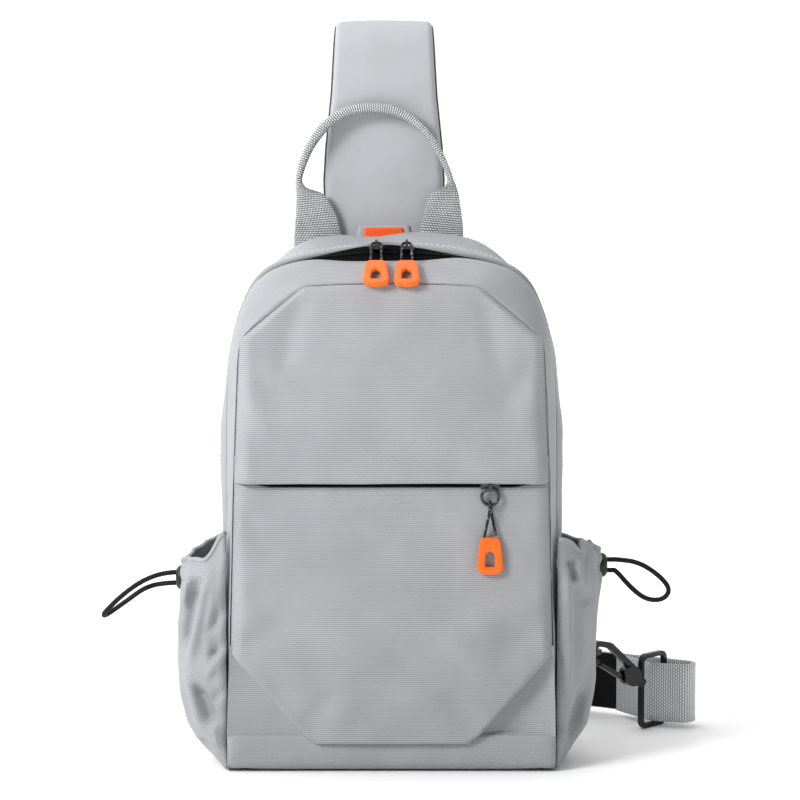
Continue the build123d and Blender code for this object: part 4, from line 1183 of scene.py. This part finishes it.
# outer and inner edge of the webbing, (x, z) each: flat at the feet, then folded and sewn into a thin grip
EDGES = [
    (-60.8, 303.0, -30.4, 303.0), (-60.9, 315.5, -31.2, 315.5), (-60.2, 324, -33.4, 326),
    (-59.6, 333, -37.4, 335.5), (-59.4, 341.5, -42.4, 342.6), (-59.6, 345.2, -46.2, 344.6),
    (-59.9, 348.2, -52.8, 346.8), (-59.9, 351.8, -55.6, 350.6), (-59.3, 356.6, -54.9, 355.4),
    (-56.9, 365.0, -52.0, 363.4), (-53.1, 373.6, -48.0, 371.4), (-46.9, 383.4, -41.9, 379.6),
    (-40.0, 390.2, -35.6, 385.8), (-31.0, 395.6, -27.6, 390.4), (-20.5, 398.6, -19.2, 392.6),
    (-10.5, 399.0, -10.2, 393.0), (0.5, 397.6, -0.8, 391.8), (11.0, 393.0, 8.2, 388.2),
    (20.6, 385.0, 17.2, 381.4), (27.6, 376.2, 23.8, 373.8), (32.6, 366.6, 29.0, 364.6),
    (36.4, 357.6, 32.8, 356.2), (38.2, 352.2, 34.2, 351.0), (39.6, 348.8, 31.8, 347.2),
    (40.6, 345.6, 26.6, 344.8), (41.6, 341.6, 23.0, 341.6), (42.9, 333.0, 20.6, 334.0),
    (44.2, 323.0, 18.6, 325.4), (44.4, 315.5, 17.6, 315.5), (44.4, 303.0, 17.2, 303.0),
]
outer_edge = catmull([Vector((a, 0, b)) for a, b, _, _ in EDGES], 5)
inner_edge = catmull([Vector((c, 0, d)) for _, _, c, d in EDGES], 5)
rows = []
for outer_point, inner_point in zip(outer_edge, inner_edge):
    point = (outer_point + inner_point) / 2
    side = (outer_point - inner_point).normalized()
    half = (outer_point - inner_point).length / 2
    deep = 0.9 + 4.2 * ease((10.5 - half) / 8.5)
    lean = 1.0 - 1.4 * ease((point.z - 303) / 30)
    ring = []
    for m in range(44):
        angle = 2 * math.pi * m / 44
        c, d = squared(math.cos(angle), 0.7), squared(math.sin(angle), 0.7)
        groove = 1.0 - 0.25 * bell(angle - math.pi, 0.22) * ease((8 - half) / 4)
        wave = 0.8 * ruffle(Vector((c * half, 0, point.z)), 9.0, 44.0) * ease((half - 6) / 4)
        ring.append(point + side * (c * half * groove) + Vector((0, HANDLE_Y + lean - d * deep - wave, 0)))
    rows.append(ring)
handle = grid("grab_handle_webbing", rows, handle_web, body=None, loop=True, caps=True, even=True)
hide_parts("grab_handle")
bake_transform(handle)

# ---------------------------------------------------------------- webbing
STRAP_END = Vector((STRAP_X, *STRAP_PATH[-1]))
fall = (Vector((0, *STRAP_PATH[-1])) - Vector((0, *STRAP_PATH[-2]))).normalized()
out_dir = Vector((1, 0, 0)).cross(fall) * -1
WEB_W, WEB_T, BAR, FRAME_T, BAR_PITCH = 38.0, 1.7, 3.4, 2.6, 10.4
adjuster = STRAP_END + fall * 26.0
X = Vector((1, 0, 0))


def loop_round(bar):
    """Points of webbing folded round a bar of the tri-glide, seen along x, from its near side and back."""
    reach_n = FRAME_T / 2 + 0.3 + WEB_T / 2
    reach_f = BAR / 2 + 0.3 + WEB_T / 2
    return [bar + out_dir * (reach_n * math.sin(a)) + fall * (reach_f * math.cos(a))
            for a in (math.radians(d) for d in range(-100, 101, 20))]


upper_bar = adjuster - fall * BAR_PITCH
tab_line = [upper_bar - fall * 17 - out_dir * 1.2, upper_bar - fall * 10 - out_dir * 2.4]
tab_line += loop_round(upper_bar)
tab_line += [upper_bar - fall * 8 + out_dir * 1.0, upper_bar - fall * 16 + out_dir * 0.6]
tab_line = resample(catmull(tab_line, 4), 1.2)
tab = ribbon("adjuster_tab_webbing", tab_line, [X] * len(tab_line), WEB_W, WEB_T, webbing)
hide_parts("adjuster_tab")

turned = math.sin(math.radians(45))
loop_points = [adjuster + fall * 20 - out_dir * 1.1, adjuster + fall * 12 + out_dir * 1.4]
loop_points += [adjuster + (p - adjuster).dot(out_dir) * out_dir - (p - adjuster).dot(fall) * fall
                for p in loop_round(adjuster)][::-1]
twist = [(p, X) for p in loop_points[:-1]]
twist += [(adjuster + fall * 12 - out_dir * 2.6, X), (adjuster + fall * 24 - out_dir * 2.4, X)]
# where the webbing drops to the floor, turns on edge and rises to the hook: place and width direction
twist += [(Vector(place), Vector(wide)) for place, wide in (
    ((-4, 149.5, 52), (turned, turned, 0)), ((-2, 151, 30), (0.15, 1, 0)), ((4, 151, 10), (0, 1, 0.05)),
    ((12, 151, 3.2), (0, 1, 0.1)), ((25, 151, 4.4), (0, 1, 0.14)), ((43, 151.5, 12.8), (0, 0.87, 0.5)),
    ((63, 152, 19.2), (0, 0.5, 0.87)), ((84, 150, 22.4), (0, 0.04, 1)))]
leg = rounded([Vector((x, y, 22.4)) for x, y in ((84, 150), (133, 133), (197, 90.3))], 60, 3.0)[1:-6]
turn = ((leg[-1].x, leg[-1].y), (197.4, 90.2), (190.5, 77.5), (167, 86), (148.6, 119.6))
nose = rounded([Vector((x, y, 22.4)) for x, y in turn], 6.4, 1.4)[1:]
twist += [(p, Vector((0, 0, 1))) for p in leg + nose]
centres = catmull([p for p, _ in twist], 5)
wide = catmull([w for _, w in twist], 5)
web = ribbon("strap_webbing_band", centres, wide, WEB_W, WEB_T, webbing)
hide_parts("strap_webbing")

lined = [k for k, p in enumerate(centres) if 100 < p.x < 151 and p.y > 121.5]
toward = [Vector((0, 0, 1)).cross(way) for way in tangents([centres[k] for k in lined])]
toward = [n if n.y < 0 else -n for n in toward]
ribbon("webbing_dark_lining", [centres[k] + n * (WEB_T / 2 + 0.5) for k, n in zip(lined, toward)],
       [wide[k] for k in lined], WEB_W - 1.5, 0.8, dark_webbing)

# ---------------------------------------------------------------- D-ring tabs
for name, ring, reach in (("right", Vector((108, 46.5, 57)), Vector((22.6, 6.5, -2.1))),
                          ("left", Vector((-107.2, 41.5, 57)), Vector((-1, 0, 0)))):
    toward = reach.normalized()
    bar_way = Vector((0, 0, 1)).cross(toward).normalized() if name == "right" else Vector((0, 1, 0))
    up = bar_way.cross(toward).normalized()
    radius = 2.15 + WEB_T / 2
    points = [ring - toward * 11 + up * 1.0, ring - toward * 5 + up * (radius * 0.8)]
    points += [ring + toward * (radius * math.sin(a)) + up * (radius * math.cos(a))
               for a in (math.radians(d) for d in range(0, 181, 20))]
    points += [ring - toward * 5 - up * (radius * 0.8), ring - toward * 11 - up * 1.0]
    line = resample(catmull(points, 4), 0.8)
    tab = ribbon(f"ring_tab_webbing_{name}", line, [bar_way] * len(line), 16.0, WEB_T, webbing)
    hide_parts(f"d_ring_tab_{name}")

# ---------------------------------------------------------------- side pockets
POCKET_FRONT, POCKET_REAR, POCKET_SIDE_X = -43.0, 28.0, 99.4
# height and bulge of each pocket's wall, the left one sagging lower and fuller
BULGE = {
    -1: [(1.0, 6.0), (3.5, 10.0), (8, 16.0), (14, 21.5), (22.0, 26.0), (40, 30.2), (62.0, 32.2), (84, 32.2),
         (95.0, 30.6), (104, 29.4), (116, 29.2), (122, 27.0), (130, 22.0), (146.0, 12.0)],
    1: [(1.0, 4.5), (3.5, 7.5), (8, 11.0), (14, 15.5), (22.0, 20.0), (40, 23.8), (62.0, 25.4), (98.0, 26.6),
        (110, 27.6), (122, 27.6), (128, 25.4), (146.0, 15.0)],
}
# share of the way round from the front seam to the rear seam, and height of the mouth there
MOUTH = {
    -1: [(0.0, 142.6), (0.03, 138.5), (0.06, 130.0), (0.09, 125.4), (0.14, 124.0), (0.24, 123.6),
         (0.36, 122.6), (0.48, 120.4), (0.56, 121.6), (0.70, 126.0), (0.85, 129.6), (0.95, 132.6),
         (1.0, 135.0)],
    1: [(0.0, 138.5), (0.05, 136.6), (0.085, 134.8), (0.115, 129.8), (0.14, 131.0), (0.17, 135.2),
        (0.22, 135.6), (0.27, 133.6), (0.30, 131.2), (0.34, 133.2), (0.42, 130.4), (0.50, 126.4),
        (0.60, 127.2), (0.80, 130.0), (1.0, 133.0)],
}


def mouth_z(side, t):
    """Height of the mouth, gathered by the elastic."""
    near = [between(clamp(t + d), MOUTH[side]) for d in (-0.014, 0.0, 0.014)]
    return (near[0] + 2 * near[1] + near[2]) / 4 + 0.7 * math.sin(2 * math.pi * 6.5 * t) * hump(t)


def pocket_xy(side, z, t):
    """Plan position on the pocket's wall: t from 0 at the front seam to 1 at the rear seam."""
    bulge = between(z, BULGE[side])
    swell = math.sin(math.pi * t) ** 0.62
    y = POCKET_FRONT + (POCKET_REAR - POCKET_FRONT) * (t + 0.036 * math.sin(2 * math.pi * t))
    return POCKET_SIDE_X - 1.0 + bulge * swell, y


# creases on the front half of each pocket: ends as (x, z), width and height
CREASES = {
    -1: [((116, 114), (126, 64), 4.0, -3.2), ((107, 121), (123, 58), 3.8, 2.6),
         ((103.5, 114), (110, 70), 2.4, 1.5), ((102, 98), (109.5, 79), 2.2, -2.0),
         ((99, 79), (109, 66), 2.2, -2.0), ((101, 70), (110, 54), 2.4, 1.3),
         ((118, 50), (105, 24), 3.6, -2.8), ((124, 62), (113, 20), 4.0, 2.0),
         ((100, 2), (116, 16), 3.0, -2.2), ((108, 34), (101, 10), 2.6, 1.4),
         ((120, 118), (127, 92), 3.0, 1.6), ((100, 50), (107, 40), 2.2, -1.5)],
    1: [((106, 128), (109, 112), 2.4, -2.0), ((112, 132), (113, 108), 2.6, 1.6),
        ((117, 130), (116, 112), 2.2, -1.4), ((103.5, 132), (104.5, 40), 2.6, 2.4),
        ((114, 100), (116, 50), 5.0, 1.0), ((119, 52), (104, 8), 4.2, -3.2),
        ((122, 60), (113, 12), 3.6, 2.0), ((100, 30), (108, 6), 2.6, 1.4),
        ((109, 112), (118, 96), 4.0, -1.0)],
}


def pocket_fold(side, x, y, z, t):
    """How far the cloth stands out sideways and forward: gathers at the mouth, creases and slack below it."""
    ends = min(1.0, t * 9, (1 - t) * 9)
    gather = 1.1 * ease((z - 84) / 40) * math.sin(2 * math.pi * (6.5 * t + 0.3 * side)) * hump(t)
    slack = 1.3 * ruffle(Vector((x, y * 1.3, z * 0.55)), 24.0, 90.0 + side) * hump(t)
    front = ease((0.62 - t) / 0.2)
    crease = sum(fold(x, z, *line) for line in CREASES[side]) * front * min(1.0, t * 30)
    rear = fold(y, z, (14, 100), (22, 34), 5.0, 1.4) + fold(y, z, (4, 116), (10, 60), 5.0, -1.6)
    return (gather + slack + rear) * ends + 0.8 * crease, (2.5 if side < 0 else 1.9) * crease


def pocket_point(side, s, t):
    """s from 0 at the foot to 1 at the mouth."""
    z_top = mouth_z(side, t)
    z = 1.2 + (z_top - 1.2) * s
    x, y = pocket_xy(side, z, t)
    hem = 0.9 * math.exp(-((s - 0.90) / 0.018) ** 2)
    aside, ahead = pocket_fold(side, x, y, z, t)
    x += aside * ease(s * 5) - hem
    y -= ahead * ease(s * 7) * ease((1 - s) * 12)
    if s > 0.985:
        x += 0.5
    return Vector((side * x, y, z))


POCKET_T, POCKET_S = 72, 84
for side, name in SIDES:
    rows = [[pocket_point(side, 1 - s, t) for t in evenly(POCKET_T)] for s in evenly(POCKET_S)]
    foot = rows[-1]
    rows += [[Vector((p.x - side * drop * 2.5, p.y * 0.98, max(0.25, p.z - drop * 0.4))) for p in foot]
             for drop in (0.7, 1.6, 3.5)]
    pocket = grid(f"side_pocket_cloth_{name}", rows, shell, flip=side > 0)
    thicken(pocket, 1.3)
    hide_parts(f"side_pocket_{name}")
    rim = [p + Vector((-side * 0.5, 0, 0.2)) for p in rows[0]]
    tube(f"side_pocket_hem_{name}", rim, 1.5, shell, sides=10)
    hem_row = POCKET_S * 0.105
    line = [surface_at(rows, hem_row, j * 0.5) for j in range(4, 2 * POCKET_T - 4)]
    if (line[0][1].x > 0) != (side > 0):
        line = [(p, -n) for p, n in line]
    stitches(f"side_pocket_hem_stitch_{name}", line, thread)

# ---------------------------------------------------------------- carried-over CAD nodes
FINISHES = {
    black_metal: (0.8, ["hook_eye", "hook_body", "gate_pin", "hook_gate", "d_ring_right", "d_ring_left"]),
    gunmetal: (0.2, ["front_zip_slider", "main_slider_left", "main_slider_right"]),
    black_plastic: (0.5, ["tri_glide", "cord_stop_left", "cord_stop_right"]),
}
for material, (edge, names) in FINISHES.items():
    for name in names:
        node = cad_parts[name]
        node.data.materials.clear()
        node.data.materials.append(material)
        soften(node, edge)

RING_WIRE = 1.0
ring_middle = mid("front_zip_ring")
ring_radius = half_size("front_zip_ring").z - RING_WIRE
ring_points = [ring_middle + Vector((math.cos(a), 0, math.sin(a))) * ring_radius
               for a in (2 * math.pi * k / 48 for k in range(48))]
pull_ring = tube("front_pull_ring", ring_points, RING_WIRE, gunmetal, body="front_pull", sides=16,
                 closed=True)
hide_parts("front_zip_ring")

# ---------------------------------------------------------------- floor and light
def set_range(node, *values):
    """Sets a map-range node: from these two values to those two."""
    for socket, value in zip(("From Min", "From Max", "To Min", "To Max"), values):
        node.inputs[socket].default_value = value


floor_mesh = bpy.data.meshes.new("floor")
FLOOR_RADIUS = 300
ring = [(FLOOR_RADIUS * math.cos(a), FLOOR_RADIUS * math.sin(a), 0.0)
        for a in (2 * math.pi * k / 64 for k in range(64))]
floor_mesh.from_pydata(ring, [], [list(range(64))])
floor = bpy.data.objects.new("floor", floor_mesh)
bpy.context.scene.collection.objects.link(floor)
floor_look = Nodes("pale_floor")
floor_grain = floor_look.noise(floor_look.add("ShaderNodeTexCoord").outputs["Object"], 3.0)
floor_look.link(floor_look.ramp(floor_grain, (0.93, 0.93, 0.93), (0.95, 0.95, 0.95)),
                floor_look.shader.inputs["Base Color"])
floor_look.gloss(0.5, 0.3)
far = floor_look.add("ShaderNodeVectorMath", operation="LENGTH")
floor_look.link(floor_look.add("ShaderNodeTexCoord").outputs["Object"], far.inputs[0])
glow = floor_look.add("ShaderNodeMapRange")
set_range(glow, 0.25, 1.1, 0.0, 0.5)
floor_look.link(far.outputs["Value"], glow.inputs["Value"])
glow_color = floor_look.ramp(glow.outputs[0], (0, 0, 0), (1, 1, 1))
floor_look.link(glow_color, floor_look.shader.inputs["Emission Color"])
floor_look.shader.inputs["Emission Strength"].default_value = 1.0
floor_mesh.materials.append(floor_look.material)

world = bpy.data.worlds.new("studio")
world.use_nodes = True
sky = world.node_tree
way = sky.nodes.new("ShaderNodeSeparateXYZ")
sky.links.new(sky.nodes.new("ShaderNodeTexCoord").outputs["Generated"], way.inputs[0])
level = sky.nodes.new("ShaderNodeMapRange")
set_range(level, -0.35, 0.1, 0.21, 1.12)
sky.links.new(way.outputs[1], level.inputs["Value"])
lean = sky.nodes.new("ShaderNodeMapRange")
set_range(lean, -0.8, 0.8, 1.2, 0.85)
sky.links.new(way.outputs[0], lean.inputs["Value"])
both = sky.nodes.new("ShaderNodeMath")
both.operation = "MULTIPLY"
sky.links.new(level.outputs[0], both.inputs[0])
sky.links.new(lean.outputs[0], both.inputs[1])
sky.links.new(both.outputs[0], sky.nodes["Background"].inputs["Strength"])
sky.nodes["Background"].inputs["Color"].default_value = (1, 1, 1, 1)
bpy.context.scene.world = world
bpy.context.scene.view_settings.view_transform = "Standard"


def softbox(name, place, aim, size, power):
    """A soft rectangular lamp at place, facing aim."""
    lamp = bpy.data.lights.new(name, "AREA")
    lamp.shape = "RECTANGLE"
    lamp.size, lamp.size_y = size
    lamp.energy = power
    box = bpy.data.objects.new(name, lamp)
    bpy.context.scene.collection.objects.link(box)
    box.location = place
    box.rotation_mode = "QUATERNION"
    box.rotation_quaternion = (Vector(aim) - Vector(place)).to_track_quat("-Z", "Y")


softbox("key_softbox", (-1.00, -0.85, 0.95), (0, 0, 0.2), (0.5, 0.5), 24)
softbox("fill_softbox", (1.6, -1.2, 0.7), (0.15, 0, 0.05), (1.0, 1.4), 4.5)
softbox("top_softbox", (-0.2, 0.1, 1.8), (0, 0, 0.2), (1.0, 0.8), 9)
softbox("rear_softbox", (-0.9, 1.6, 1.1), (0, 0, 0.2), (1.0, 1.0), 5)
